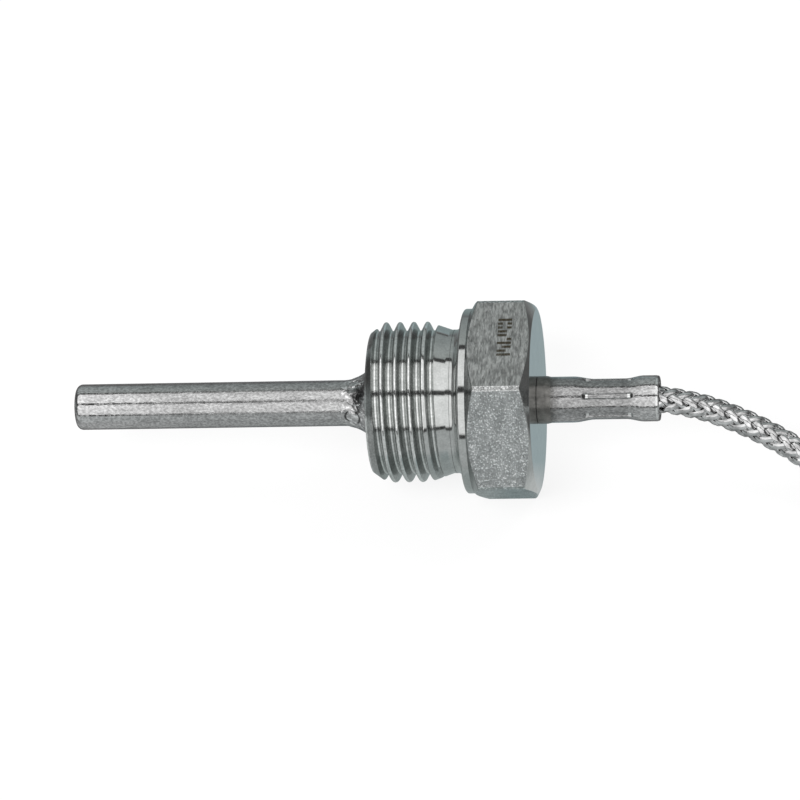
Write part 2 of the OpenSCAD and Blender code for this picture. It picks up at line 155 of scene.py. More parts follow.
# %% Mesh helpers
def make_piece(name, points, faces, sharp=40.0):
    """A mesh object from points in metres, smooth but for edges sharper than the angle."""
    mesh = bpy.data.meshes.new(name)
    mesh.from_pydata([tuple(p) for p in points], [], faces)
    work = bmesh.new()
    work.from_mesh(mesh)
    bmesh.ops.remove_doubles(work, verts=work.verts, dist=1e-7)
    bmesh.ops.dissolve_degenerate(work, edges=work.edges, dist=1e-8)
    bmesh.ops.recalc_face_normals(work, faces=work.faces)
    work.to_mesh(mesh)
    work.free()
    mesh.shade_smooth()
    mesh.set_sharp_from_angle(angle=math.radians(sharp))
    piece = placed(name, mesh)
    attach(piece, "root")
    return piece


def ring_faces(rows, sides, shift=0, closed=False):
    """Faces between rings; with a shift, a ring ends that many rows further on."""
    faces = []
    for i in range(rows if closed else rows - 1):
        k = (i + 1) % rows
        for j in range(sides - 1):
            faces.append((i * sides + j, i * sides + j + 1, k * sides + j + 1, k * sides + j))
        if i + shift + 1 < rows or closed:
            a, b = (i + shift) % rows, (k + shift) % rows
            faces.append((i * sides + sides - 1, a * sides, b * sides, k * sides + sides - 1))
    return faces


def joined(*parts):
    """Points and faces of several parts, each given as (points, faces)."""
    points, faces = [], []
    for part_points, part_faces in parts:
        faces += [tuple(v + len(points) for v in face) for face in part_faces]
        points += [*part_points]
    return points, faces

# %% Turned pieces
def about_x(x, r, angle):
    """Points at radius r and an angle from +Y towards +Z, about the tube's axis."""
    x, r, angle = np.broadcast_arrays(x, r, angle)
    return np.stack([x, r * np.cos(angle), r * np.sin(angle)], -1).reshape(-1, 3)


def angles(sides):
    return np.arange(sides) * 2 * math.pi / sides


def turned(name, line, sides, shape=None, closed=False, sharp=40.0):
    """A turned piece from a line of (x, r); shape may change the radius by place and angle."""
    x, r = (np.array(v)[:, None] for v in zip(*line))
    angle = angles(sides)[None, :]
    if shape is not None:
        r = shape(x, r, angle)
    faces = ring_faces(len(line), sides, closed=closed)
    return make_piece(name, about_x(x, r, angle), faces, sharp)

# %% Curves and ripples
def smooth_step(t):
    t = np.clip(t, 0, 1)
    return t * t * (3 - 2 * t)


def half_wave(t):
    return (1 - np.cos(np.pi * np.clip(t, 0, 1))) / 2


def arc(centre_x, centre_r, radius, start, end, steps):
    """Points (x, r) on an arc; 0 degrees points along +X and 90 away from the axis."""
    return [
        (centre_x + radius * math.cos(a), centre_r + radius * math.sin(a))
        for a in (math.radians(start + (end - start) * i / steps) for i in range(steps + 1))
    ]


def ripples(x, angle, size, seed):
    """Soft random heights from -1 to 1 over a turned surface, with the given grain size."""
    x, angle = np.broadcast_arrays(x, angle)
    grain = [
        noise.noise(Vector((a / size[0] + seed, c * tube_r / size[1], s * tube_r / size[1])))
        for a, c, s in zip(x.ravel(), np.cos(angle).ravel(), np.sin(angle).ravel())
    ]
    return np.array(grain).reshape(x.shape)

# %% [markdown]
# ## The cable's way
#
# The cable leaves the crimp straight, sags to the surface that the part
# lies on, and is put away as a flat hank in line with the probe. The free
# stretch repeats the route of the solid. The hank is worked out in a loop:
# five turns round two ends, in three layers, drawn in by the tie at the
# middle. The length is what such a probe usually has: about one metre.

# %% Cable route
CABLE_ROUTE = [
    (0.0221, 0, 0), (0.0231, 0, 0), (0.0254, 0, -0.0003), (0.0284, 0, -0.0012),
    (0.032, -0.0002, -0.0026), (0.037, -0.0014, -0.0045), (0.042, -0.0035, -0.0063),
    (0.046, -0.006, -0.0077), (0.0485, -0.0079, -0.0085),
]
LEAD_IN = [(0.0525, -0.0103, -0.0092), (0.057, -0.0124, -0.0097)]

# %% The hank's rows, layers and turns
HANK_START = 63 * MM
HANK_END = HANK_START + 52 * MM
INNER_ROW = 10.2 * MM
OUTER_ROW = INNER_ROW + 2 * cable_r
PINCH = INNER_ROW - cable_r - 0.1 * MM
TIE_THICK = 0.5 * MM
TAIL_LEN = 30 * MM
LAYERS = [floor_z + TIE_THICK + cable_r * (1 + 2 * i) for i in range(3)]
# Each turn's row and layer on the straight runs, in the order they are wound
TURNS = [(OUTER_ROW, 0), (INNER_ROW, 0), (INNER_ROW, 1), (OUTER_ROW, 1), (OUTER_ROW, 2)]


def drawn_in(x):
    """How far the tie pulls a run towards the middle, at a place along the hank."""
    return PINCH * (1 - math.cos(2 * math.pi * (x - HANK_START) / (HANK_END - HANK_START))) / 2


def run(row, z, side, from_x, to_x, steps=20):
    places = np.linspace(from_x, to_x, steps + 1)
    return [(x, side * (row - drawn_in(x)), z) for x in places]


def loop(x, rows, heights, start, end, steps=24):
    """A half turn that may climb a layer or change its row on the way."""
    points = []
    for i in range(1, steps):
        t = i / steps
        soft = smooth_step(t)
        r = rows[0] + (rows[1] - rows[0]) * soft
        a = math.radians(start + (end - start) * t)
        z = heights[0] + (heights[1] - heights[0]) * soft
        points.append((x + r * math.cos(a), r * math.sin(a), z))
    return points


def winding():
    points = []
    for i, (row, layer) in enumerate(TURNS):
        z = LAYERS[layer]
        row_on, layer_on = TURNS[i + 1] if i + 1 < len(TURNS) else (INNER_ROW, 2)
        points += run(row, z, -1, HANK_START, HANK_END)
        points += loop(HANK_END, (row, row), (z, z), -90, 90)
        points += run(row, z, 1, HANK_END, HANK_START)
        points += loop(HANK_START, (row, row_on), (z, LAYERS[layer_on]), 90, 270)
    return points + run(INNER_ROW, LAYERS[2], -1, HANK_START, HANK_START + TAIL_LEN, 12)

# %% A smooth and even curve
def through(points, steps=10):
    """A smooth curve through given points."""
    p = [np.array(q, float) for q in points]
    p = [2 * p[0] - p[1]] + p + [2 * p[-1] - p[-2]]
    curve = []
    for a, b, c, d in zip(p, p[1:], p[2:], p[3:]):
        for i in range(steps):
            t = i / steps
            curve.append(0.5 * (2 * b + (c - a) * t + (2 * a - 5 * b + 4 * c - d) * t ** 2
                                + (3 * b - a - 3 * c + d) * t ** 3))
    return curve + [p[-2]]


def even(points, step):
    """The same curve with points about a step apart, and the curve's length."""
    points = np.array(points, float)
    along = np.r_[0, np.cumsum(np.linalg.norm(np.diff(points, axis=0), axis=1))]
    count = round(along[-1] / step)
    places = np.linspace(0, along[-1], count + 1)
    return np.stack([np.interp(places, along, points[:, k]) for k in range(3)], 1), along[-1]


CABLE_STEP = 0.2 * MM
wound = winding()
cable_way, cable_len = even(through(CABLE_ROUTE + LEAD_IN + [wound[0]]) + wound[1:], CABLE_STEP)
print("cable length, mm:", round(cable_len / MM))

# %% [markdown]
# A section that is swept along a way needs two directions across it at each
# point. They are carried on from point to point, so that nothing twists.

# %% Frames along a way
def frames(way):
    """Side and up of each point, turning as little as possible along the way."""
    ahead = np.gradient(way, axis=0)
    ahead /= np.linalg.norm(ahead, axis=1)[:, None]
    side = np.cross(ahead[0], (0.0, 0.0, 1.0))
    sides = []
    for d in ahead:
        side = side - d * (side @ d)
        side = side / np.linalg.norm(side)
        sides.append(side)
    sides = np.array(sides)
    return sides, np.cross(sides, ahead)


def around(way, side, up, r, angle):
    """Points at radius r and an angle about each point of a way."""
    r, angle = np.broadcast_arrays(r, angle)
    return (way[:, None, :] + (r * np.cos(angle))[:, :, None] * side[:, None, :]
            + (r * np.sin(angle))[:, :, None] * up[:, None, :]).reshape(-1, 3)


def swept(name, way, r, sides):
    """A round rod along a way, with flat ends."""
    points = around(way, *frames(way), r, angles(sides)[None, :])
    faces = ring_faces(len(way), sides)
    faces += [tuple(range(sides)), tuple(len(points) - sides + k for k in range(sides))]
    return make_piece(name, points, faces, 60.0)

# %% [markdown]
# ## The braid
#
# Sixteen bundles of fine wires are woven round the cable's jacket, eight
# one way and eight the other, each passing over two and under two. A bundle
# is swept as a ribbon whose radius rises and falls with the crossings. Near
# the probe, where the braid is seen closely, the ribbon's section has the
# wires' round tops; in the hank a plain crowned ribbon is enough.

# %% Woven bundles
BUNDLES = 8
LAY = 15.5 * MM
BUNDLE_W = 0.84 * MM
BUNDLE_WIRES = 4
BUNDLE_CROWN = 0.13 * MM
JACKET_R = 1.1 * MM
OVER_R = cable_r - 0.14 * MM
UNDER_R = cable_r - 0.5 * MM
WOVEN_END = 46 * MM
# Above 1, a bundle runs level for a while before it dives again
WEAVE_LEVEL = 1.35


def weave_height(crossing, bundle, hand):
    """From -1 to 1: under two bundles of the other hand, then over two."""
    if hand > 0:
        wave = np.cos(np.pi / 2 * (crossing + 2 * bundle - 0.5))
    else:
        wave = -np.cos(np.pi / 2 * (2 * bundle - crossing - 0.5))
    return np.clip(WEAVE_LEVEL * wave, -1, 1)


def braid(way, along, section):
    """Points and faces of all the bundles; section holds (across, height) of a ribbon."""
    side, up = frames(way)
    crossing = along * 2 * BUNDLES / LAY
    across, height = (np.array(v)[None, :] for v in zip(*section))
    ribbons, width = [], len(section)
    strip = [(a + k, a + k + 1, a + width + k + 1, a + width + k)
             for a in range(0, (len(way) - 1) * width, width) for k in range(width - 1)]
    slant = math.cos(math.atan(2 * math.pi * OVER_R / LAY))
    for hand in (1, -1):
        for bundle in range(BUNDLES):
            turn = bundle / BUNDLES + hand * along / LAY
            middle = (OVER_R + UNDER_R) / 2
            r = middle + weave_height(crossing, bundle, hand) * (OVER_R - UNDER_R) / 2
            angle = 2 * math.pi * turn[:, None] + across / slant / middle
            ribbons.append((around(way, side, up, r[:, None] + height, angle), strip))
    return joined(*ribbons)

# %% The ribbons' sections
def wire_section():
    """The tops of the bundle's wires on its crown, as (across, height)."""
    wire_r = BUNDLE_W / BUNDLE_WIRES / 2
    points = [(-BUNDLE_W / 2, -0.1 * MM)]
    for w in range(BUNDLE_WIRES):
        centre = -BUNDLE_W / 2 + wire_r * (2 * w + 1)
        for a in (0.12 * math.pi, 0.5 * math.pi, 0.88 * math.pi):
            across = centre - wire_r * math.cos(a)
            crown = BUNDLE_CROWN * (1 - (2 * across / BUNDLE_W) ** 2)
            points.append((across, crown + 0.5 * wire_r * (math.sin(a) - 1)))
    return points + [(BUNDLE_W / 2, -0.1 * MM)]


CROWNED_SECTION = [(-BUNDLE_W / 2, -0.06 * MM), (0.0, 0.07 * MM), (BUNDLE_W / 2, -0.06 * MM)]

# %% [markdown]
# The cord itself is one piece: the jacket for its whole length, and the
# plain ribbons from where the close weave ends. The close weave is a piece
# that goes with it.

# %% Cable pieces
FREE_LEN = 60 * MM
JACKET_STEP = 1.2 * MM
WOVEN_STEP = 0.1 * MM
along_way = np.linspace(0, cable_len, len(cable_way))
seen_count = int(((cable_way[:, 0] < WOVEN_END) & (along_way < FREE_LEN)).sum())

jacket_way, _ = even(cable_way, JACKET_STEP)
jacket = (around(jacket_way, *frames(jacket_way), JACKET_R, angles(10)[None, :]),
          ring_faces(len(jacket_way), 10))

rest = slice(seen_count - 1, None, 2)
ribbons = braid(cable_way[rest], along_way[rest], CROWNED_SECTION)
cord_piece = make_piece("braided_cable", *joined(jacket, ribbons), 80.0)
woven_way, woven_len = even(cable_way[:seen_count], WOVEN_STEP)
woven_along = np.linspace(0, woven_len, len(woven_way))
woven_piece = make_piece("woven_braid", *braid(woven_way, woven_along, wire_section()), 60.0)
print("cord faces:", len(cord_piece.data.polygons), "woven:", len(woven_piece.data.polygons))

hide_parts("cable", "cable_hank", "cable_tail")

# %% [markdown]
# ## The pipe thread
#
# The solid's rings become a true right-hand helix here. The rows of the mesh
# follow the helix, so every crest stays one clean line. The radius is the
# lowest of three things: the thread's rounded form, the lead-in chamfer, and
# the cone of the relief groove, where the tool ran out.

# %% Thread form
PITCH = 1.814 * MM
HALF_FLANK = math.radians(27.5)
THREAD_DEPTH = 0.6403 * PITCH
ROUNDING = 0.1373 * PITCH
THREAD_LEAD = 1.75 * MM
END_STEP = 0.12 * MM
RELIEF_X = -3.52 * MM
RELIEF_CONE_END = -1.72 * MM
RELIEF_DROP = 0.48 * MM
CREST_X = -8.54 * MM
CREST_TURN = 36.4 / 360
LAST_GROOVE = (-3.27 * MM, -2.82 * MM)

thread_end_x = fitting_low.x
root_r = thread_r - THREAD_DEPTH
relief_r = root_r + 0.05 * MM
cone_slope = (thread_r - RELIEF_DROP - relief_r) / (RELIEF_CONE_END - RELIEF_X)


def thread_form(d):
    """Radius of the thread at a distance from a groove's middle: arc, flank, arc."""
    bend = ROUNDING * math.cos(HALF_FLANK)
    half = PITCH / 2
    flank = root_r + ROUNDING * (1 - math.sin(HALF_FLANK)) + (d - bend) / math.tan(HALF_FLANK)
    root = root_r + ROUNDING - np.sqrt(np.maximum(ROUNDING ** 2 - d ** 2, 0))
    crest = thread_r - ROUNDING + np.sqrt(np.maximum(ROUNDING ** 2 - (half - d) ** 2, 0))
    return np.where(d < bend, root, np.where(d > half - bend, crest, flank))


def blank_radius(x):
    """The turned blank before the thread is cut: chamfer, cylinder, cone and groove."""
    lead = root_r - END_STEP + (x - thread_end_x) * (THREAD_DEPTH + END_STEP) / THREAD_LEAD
    cone = relief_r + (RELIEF_CONE_END - x) * cone_slope
    return np.minimum(np.minimum(lead, thread_r), np.maximum(cone, relief_r))


def threaded_radius(x, turn):
    first_groove = CREST_X + PITCH / 2 + PITCH * (turn - CREST_TURN)
    count = np.round((x - first_groove) / PITCH)
    groove_x = first_groove + count * PITCH
    fade = smooth_step((groove_x - LAST_GROOVE[0]) / (LAST_GROOVE[1] - LAST_GROOVE[0]))
    cut = thread_form(np.abs(x - groove_x))
    return np.minimum(blank_radius(x), cut + (thread_r - cut) * fade)

# %% Thread mesh
ROWS_PER_PITCH = 24
THREAD_SIDES = 240
BARREL_END = -1.3 * MM
row_count = int(math.ceil(((BARREL_END - thread_end_x) / PITCH + 2) * ROWS_PER_PITCH))
turn = np.arange(THREAD_SIDES)[None, :] / THREAD_SIDES
row_x = thread_end_x - PITCH + np.arange(row_count)[:, None] * PITCH / ROWS_PER_PITCH
place_x = np.clip(row_x + PITCH * turn, thread_end_x, BARREL_END)
thread = (about_x(place_x, threaded_radius(place_x, turn), turn * 2 * math.pi),
          ring_faces(row_count, THREAD_SIDES, shift=ROWS_PER_PITCH))
end_r = np.array([tube_r + TUBE_GAP, root_r - END_STEP - 0.1 * MM, root_r - END_STEP])
end_face = (about_x(thread_end_x, end_r[:, None], turn * 2 * math.pi),
            ring_faces(3, THREAD_SIDES))
pipe_thread = make_piece("pipe_thread", *joined(thread, end_face), 50.0)
print("thread faces:", len(pipe_thread.data.polygons))

# %% [markdown]
# ## The hexagon
#
# On the lathe the bar's end gets its collar, its chamfers and its rear face;
# the six flats are the bar's own. So the piece is a turned body cut to a
# six-sided prism with a Boolean modifier. A fine bevel then breaks every
# edge, because a real edge always catches a thread of light.

# %% Hexagon
COLLAR_LEN = 1.1 * MM
COLLAR_R = hex_af / 2 - 0.2 * MM
REAR_FACE_R = hex_af / 2 - 0.4 * MM
CORNER_R = fitting_high.y
# The cut from the groove's floor up to the shoulder, as (x, rise) in millimetres
RELIEF_CORNER = [(-1.06, 0.0), (-0.9, 0.02), (-0.62, 0.22), (-0.32, 0.58), (-0.1, 1.1), (0, 1.8)]
COLLAR_EDGE = 0.2 * MM
FRONT_CHAMFER = math.tan(math.radians(30))
REAR_CHAMFER = math.tan(math.radians(26))
BORE_R = tube_r + TUBE_GAP
EDGE_BREAK = 0.07 * MM
EDGE_ANGLE = math.radians(14)


def applied(piece):
    """Replaces a piece's mesh by what its modifiers make of it."""
    seen_by = piece.evaluated_get(bpy.context.evaluated_depsgraph_get())
    made = bpy.data.meshes.new_from_object(seen_by)
    piece.modifiers.clear()
    piece.data = made


def hexagon_line():
    front = COLLAR_LEN + (CORNER_R - COLLAR_R) * FRONT_CHAMFER
    rear = hex_len - (CORNER_R - REAR_FACE_R) * REAR_CHAMFER
    return [
        (BARREL_END, BORE_R), (BARREL_END, relief_r),
        *[(x * MM, relief_r + rise * MM) for x, rise in RELIEF_CORNER],
        (0, COLLAR_R - COLLAR_EDGE), (COLLAR_EDGE, COLLAR_R), (COLLAR_LEN, COLLAR_R),
        (front, CORNER_R), (rear, CORNER_R), (hex_len, REAR_FACE_R), (hex_len, BORE_R),
    ]

# %% Cut to six flats
hexagon = turned("hexagon", hexagon_line(), 180, closed=True, sharp=20.0)
prism_r = hex_af / 2 / math.cos(math.radians(30))
prism_from, prism_to = -4 * MM, hex_len + 4 * MM
prism_line = [(prism_from, 0), (prism_from, prism_r), (prism_to, prism_r), (prism_to, 0)]
prism = turned("prism", prism_line, 6, sharp=20.0)
cut = hexagon.modifiers.new("flats", "BOOLEAN")
cut.operation, cut.solver, cut.object = "INTERSECT", "EXACT", prism
applied(hexagon)
bpy.data.objects.remove(prism)
broken = hexagon.modifiers.new("edges", "BEVEL")
broken.width, broken.segments, broken.limit_method = EDGE_BREAK, 2, "ANGLE"
broken.angle_limit, broken.harden_normals = EDGE_ANGLE, True
hexagon.data.shade_smooth()
applied(hexagon)
print("hexagon faces:", len(hexagon.data.polygons))

for piece in (pipe_thread, hexagon):
    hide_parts("process_fitting")

# %% [markdown]
# ## The probe tube
#
# The tube is drawn, then crimped. Six narrow jaws press grooves into a
# waist, so the radius is worked out for each place and angle: a soft waist,
# less what a jaw with a round nose and sloping ends takes away. The same
# function gives the bore, one wall further in.

# %% Crimped tube
WAIST = (mouth_x - 8.4 * MM, mouth_x - 4.5 * MM)
WAIST_IN = 2.9 * MM
WAIST_OUT = 2.5 * MM
WAIST_R = cable_r + 0.9 * MM
CRIMP_FLOOR_R = WAIST_R - 0.22 * MM
JAW_R = 0.47 * MM
JAW_BEND = 0.2 * MM
JAW_HALF = 2.82 * MM
JAW_SOFT = 0.02 * MM
CRIMP_MID = mouth_x - 6.65 * MM
CRIMP_TURN = math.radians(28 - 90)
CRIMPS = 6
MOUTH_EDGE = 0.22 * MM
MOUTH_GRIND = (0.2 * MM, 0.05 * MM)
# Rows are coarse up to the first of these places, and fine from the second on
PLAIN_END, FINE_FROM = 9 * MM, 9.2 * MM
ROW_STEP = 0.08 * MM


def waist_depth(x):
    into = half_wave((x - WAIST[0] + WAIST_IN) / WAIST_IN)
    out_of = half_wave((x - WAIST[1]) / WAIST_OUT)
    return (tube_r - WAIST_R) * into * (1 - out_of)


def softer_of(a, b, soft):
    """The smaller of two radii, with a rounded change from one to the other."""
    low = np.minimum(a, b)
    return low - soft * np.log(np.exp((low - a) / soft) + np.exp((low - b) / soft))


def crimped(x, r, angle):
    """Presses six round-nosed jaws with sloping ends into the waist; the bore follows."""
    step = 2 * math.pi / CRIMPS
    off = (angle - CRIMP_TURN + step / 2) % step - step / 2
    outside = tube_r - waist_depth(x)
    across = np.abs(off) * WAIST_R
    from_middle = np.abs(x - CRIMP_MID)
    beyond = np.maximum(from_middle - JAW_HALF, 0)
    end_rise = np.where(beyond < JAW_BEND, beyond ** 2 / (2 * JAW_BEND), beyond - JAW_BEND / 2)
    nose = np.sqrt(np.maximum(JAW_R ** 2 - across ** 2, 0))
    jaw = np.where(nose > 0, CRIMP_FLOOR_R + JAW_R - nose + end_rise, tube_r + MM)
    return r - tube_r + softer_of(outside, jaw, JAW_SOFT)

# %% The tube's rows
def tube_line():
    front = np.linspace(tube_low.x, PLAIN_END, 60)
    ground_len, ground_in = MOUTH_GRIND
    ground_x = mouth_x - MOUTH_EDGE - ground_len
    rear = np.arange(FINE_FROM, ground_x, ROW_STEP)
    outside = [(x, tube_r) for x in (*front, *rear, ground_x)]
    edge = arc(mouth_x - MOUTH_EDGE, tube_r - ground_in - MOUTH_EDGE, MOUTH_EDGE, 90, 0, 5)
    inner_edge = arc(mouth_x - MOUTH_EDGE, tube_r - tube_wall + MOUTH_EDGE, MOUTH_EDGE, 0, -90, 4)
    inside = [(x, tube_r - tube_wall) for x in (*rear[-2::-2], *front[::-4])]
    return outside + edge + inner_edge + inside


probe_tube = turned("crimped_tube", tube_line(), 240, crimped, closed=True, sharp=50.0)
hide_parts("probe_tube")
print("tube faces:", len(probe_tube.data.polygons))

# %% [markdown]
# ## Tip and welds
#
# The plug is welded into the tube's front end. The bead leaves a rounded
# rim and one last drop beside the axis. Between the tube and the thread the
# weld runs up in a hollow flare whose surface keeps the overlapping scales
# of the molten pool. At the rear a fine seam runs round against the
# hexagon, and a low bead runs out on the tube.

# %% End plug
TIP_LEN = 1.5 * MM
TIP_ROUND = 0.8 * MM
PLUG_EDGE = 0.2 * MM
DROP_OUT = 0.57 * MM
DROP_TURN = math.radians(37)
DROP_R = 0.75 * MM
tip_x = tube_low.x - TIP_LEN
drop_h = tip_x - plug_low.x


def drop_bulge(y, z):
    """How far the weld's last drop stands out of the tip's face."""
    dy = y - DROP_OUT * math.cos(DROP_TURN)
    dz = z - DROP_OUT * math.sin(DROP_TURN)
    return drop_h * np.sqrt(np.maximum(1 - (dy ** 2 + dz ** 2) / DROP_R ** 2, 0))


def plug_line():
    plug_bore_r = tube_r - tube_wall
    face = [(tip_x, r) for r in np.linspace(0, tube_r - TIP_ROUND, 24)]
    rim = arc(tip_x + TIP_ROUND, tube_r - TIP_ROUND, TIP_ROUND, 180, 90, 12)
    return face + rim[1:] + [
        (tube_low.x, tube_r), (tube_low.x, plug_bore_r),
        (plug_high.x - PLUG_EDGE, plug_bore_r), (plug_high.x, plug_bore_r - PLUG_EDGE),
        (plug_high.x, 0),
    ]


end_plug = turned("tip_plug", plug_line(), 200, sharp=40.0)
for v in end_plug.data.vertices:
    if v.co.x < tip_x + 0.01 * MM:
        v.co.x -= float(drop_bulge(v.co.y, v.co.z))
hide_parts("end_plug")
print("drop stands out, mm:", round(drop_h / MM, 2))

# %% Front weld
WELD_CURVE = 5 * MM
SCALE_GAP = math.radians(22)
SCALE_H = 0.11 * MM
SCALE_BOW = 0.9
SCALE_STEEP = 1.5
WELD_ROUGH = 0.05 * MM
WELD_SEED = 3.0
FADE_LEN = 1.8 * MM
# The height above the tube from which a weld is as rough as it gets
ROUGH_FROM = 0.1 * MM


def weld_scales(x, angle):
    """Overlapping scales round the flare, as heights from 0 to 1."""
    x, angle = np.broadcast_arrays(x, angle)
    t = (x - front_weld_low.x) / (front_weld_high.x - front_weld_low.x)
    phase = angle / SCALE_GAP + SCALE_BOW * (2 * t - 1) ** 2
    return (phase % 1.0) ** SCALE_STEEP * np.sin(np.pi * np.clip(t, 0, 1))


def front_weld_line():
    run = np.linspace(0, front_weld_high.x - front_weld_low.x, 40)
    rise = tube_r + WELD_CURVE - np.sqrt(WELD_CURVE ** 2 - run ** 2)
    curve = list(zip(front_weld_low.x + run, rise))
    return [(front_weld_high.x, tube_r)] + curve


def front_weld_shape(x, r, angle):
    """Scales and small bumps, which fade towards the tube and towards the thread."""
    rough = WELD_ROUGH * ripples(x, angle, (0.55 * MM, 0.45 * MM), WELD_SEED)
    above = np.clip((r - tube_r) / ROUGH_FROM, 0, 1)
    off_thread = np.clip((front_weld_high.x - x) / FADE_LEN, 0.15, 1)
    return r + above * off_thread * (SCALE_H * (weld_scales(x, angle) - 0.6) + rough)


front_weld = turned("flared_weld", front_weld_line(), 180, front_weld_shape)
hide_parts("front_weld")

# %% Rear weld
REAR_SEAM = 0.05 * MM
SEAM_DEEP = 0.1 * MM
REAR_BEAD_H = 0.12 * MM
RUN_OUT = 0.6 * MM
BEAD_SEED = 9.0


def rear_weld_line():
    """A fine seam against the hexagon, and a low bead that runs out on the tube."""
    start, end = rear_weld_low.x, rear_weld_high.x
    bead = [(x, tube_r + REAR_BEAD_H * float(1 - half_wave((x - end + RUN_OUT) / RUN_OUT)))
            for x in np.linspace(start + REAR_SEAM, end, 16)]
    return [(start, tube_r - SEAM_DEEP), (start, tube_r + 0.02 * MM), *bead]


def rear_weld_shape(x, r, angle):
    rough = 0.02 * MM * ripples(x, angle, (0.5 * MM, 0.7 * MM), BEAD_SEED) - 0.01 * MM
    return r + rough * np.clip((r - tube_r) / ROUGH_FROM, 0, 1)


rear_weld = turned("rear_bead", rear_weld_line(), 140, rear_weld_shape, sharp=45.0)
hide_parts("rear_weld")
print("weld faces:", len(front_weld.data.polygons), len(rear_weld.data.polygons))

# %% [markdown]
# ## Pieces on the cable's far end
#
# The tie is a flat strip round the hank with its ends twisted together. The
# cable ends in a sleeve, from which four insulated leads come out, each with
# a crimped ferrule.

# %% Tie
TIE_W = 4 * MM
TIE_MID = (HANK_START + HANK_END) / 2
tie_half = OUTER_ROW + cable_r - PINCH
tie_bottom = floor_z + TIE_THICK
tie_top = tie_bottom + 6 * cable_r
TIE_CORNER = 1.5 * MM
TWIST_TURNS = 3.2
TWIST_LEN = 9 * MM
TWIST_START = 0.42
TWIST_GAP = 0.42 * MM
TWIST_R = 0.38 * MM
LEAN = (0.26, 0.97)


def tie_outline(grow, steps=8):
    """A box with round corners about the drawn-in hank, as points (y, z)."""
    points = []
    r = TIE_CORNER + grow
    corners = [(1, 1, 0), (-1, 1, 90), (-1, -1, 180), (1, -1, 270)]
    for sy, sz, start in corners:
        cy = sy * (tie_half - TIE_CORNER)
        cz = (tie_bottom + tie_top) / 2 + sz * ((tie_top - tie_bottom) / 2 - TIE_CORNER)
        points += arc(cy, cz, r, start, start + 90, steps)
    return points


def tie_strip():
    """The strip's section is thick at its middle, where its wire runs, and thin at its edges."""
    profile = [(-0.5, 0.05), (-0.46, 0.3), (-0.15, 0.35), (0, 0.95), (0.15, 0.35), (0.46, 0.3),
               (0.5, 0.05), (0.46, 0.02), (-0.46, 0.02)]
    rings = [tie_outline(h * TIE_THICK) for _, h in profile]
    points = [(TIE_MID + w * TIE_W, y, z)
              for (w, _), ring in zip(profile, rings) for y, z in ring]
    return make_piece("tie_strip", points, ring_faces(len(profile), len(rings[0]), closed=True))


def tie_tail(name, turn):
    """One of the two ends, wound round the other above the hank."""
    t = np.linspace(0, 1, 60)[:, None]
    lean, side = np.array((*LEAN, 0.0)), np.array((LEAN[1], -LEAN[0], 0.0))
    centre = np.array((TIE_MID, tie_half / 2, tie_top + TIE_THICK + 0.5 * MM))
    spin = turn + t * TWIST_TURNS * 2 * math.pi
    way = centre + (t - TWIST_START) * TWIST_LEN * lean
    way += TWIST_GAP * (np.cos(spin) * side + np.sin(spin) * np.array((0, 0, 1.0)))
    return swept(name, way, TWIST_R, 10)


tie_pieces = [tie_strip(), tie_tail("tie_end_a", 0.0), tie_tail("tie_end_b", math.pi)]
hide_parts("hank_tie")

# %% Sleeve, leads and ferrules
SLEEVE_LEN = 8 * MM
SLEEVE_R = 2 * MM
LEAD_R = 0.5 * MM
LEAD_LEN = 16 * MM
LEAD_GAP = 0.1 * MM
FERRULE_LEN = 5 * MM
FERRULE_R = 0.4 * MM
sleeve_x = HANK_START + TAIL_LEN
leads_x = sleeve_x + SLEEVE_LEN
sleeve_z = LAYERS[2] + SLEEVE_R - cable_r
lead_z = LAYERS[1] + cable_r + LEAD_GAP + LEAD_R


def on_inner_row(x, out, z):
    return (x, -(INNER_ROW - drawn_in(x)) + out, z)


def end_sleeve():
    """A shrunk sleeve: tight on the cable, with a slight swell where it starts."""
    way = np.array([on_inner_row(x, 0, sleeve_z)
                    for x in np.linspace(sleeve_x, leads_x, 24)])
    t = np.linspace(0, 1, 24)
    r = SLEEVE_R * (1 - 0.05 * np.sin(np.pi * np.clip(t * 4, 0, 1)) - 0.35 * smooth_step(t * 5 - 4))
    return swept("shrunk_sleeve", way, r[:, None], 24)


def lead_way(side, level):
    places = np.linspace(leads_x - 0.5 * MM, leads_x + LEAD_LEN, 24)
    spread = (LEAD_R + LEAD_GAP / 2) * (1 + np.maximum(places - leads_x, 0) / LEAD_LEN / 3)
    z = lead_z + level * (2 * LEAD_R + LEAD_GAP)
    return np.array([on_inner_row(x, side * s, z) for x, s in zip(places, spread)])


def ferrule(name, way):
    """A thin tube over the bare wire, pressed flat at its middle."""
    ahead = way[-1] - way[-2]
    ahead /= np.linalg.norm(ahead)
    t = np.linspace(0, 1, 16)
    r = FERRULE_R * (1 - 0.22 * np.sin(np.pi * np.clip(t * 1.6 - 0.3, 0, 1)))
    return swept(name, way[-1] + t[:, None] * FERRULE_LEN * ahead, r[:, None], 16)


sleeve_piece = end_sleeve()
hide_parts("end_sleeve")
lead_pieces, ferrule_pieces = {"red": [], "white": []}, []
for colour, lead_side in (("red", 1), ("white", -1)):
    for level in (0, 1):
        way = lead_way(lead_side, level)
        lead = swept(f"{colour}_lead_{level + 1}", way, LEAD_R, 16)
        lead_pieces[colour].append(lead)
        ferrule_pieces.append(ferrule(f"{colour}_ferrule_{level + 1}", way))
        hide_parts(f"{colour}_leads")
        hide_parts("wire_ferrules")

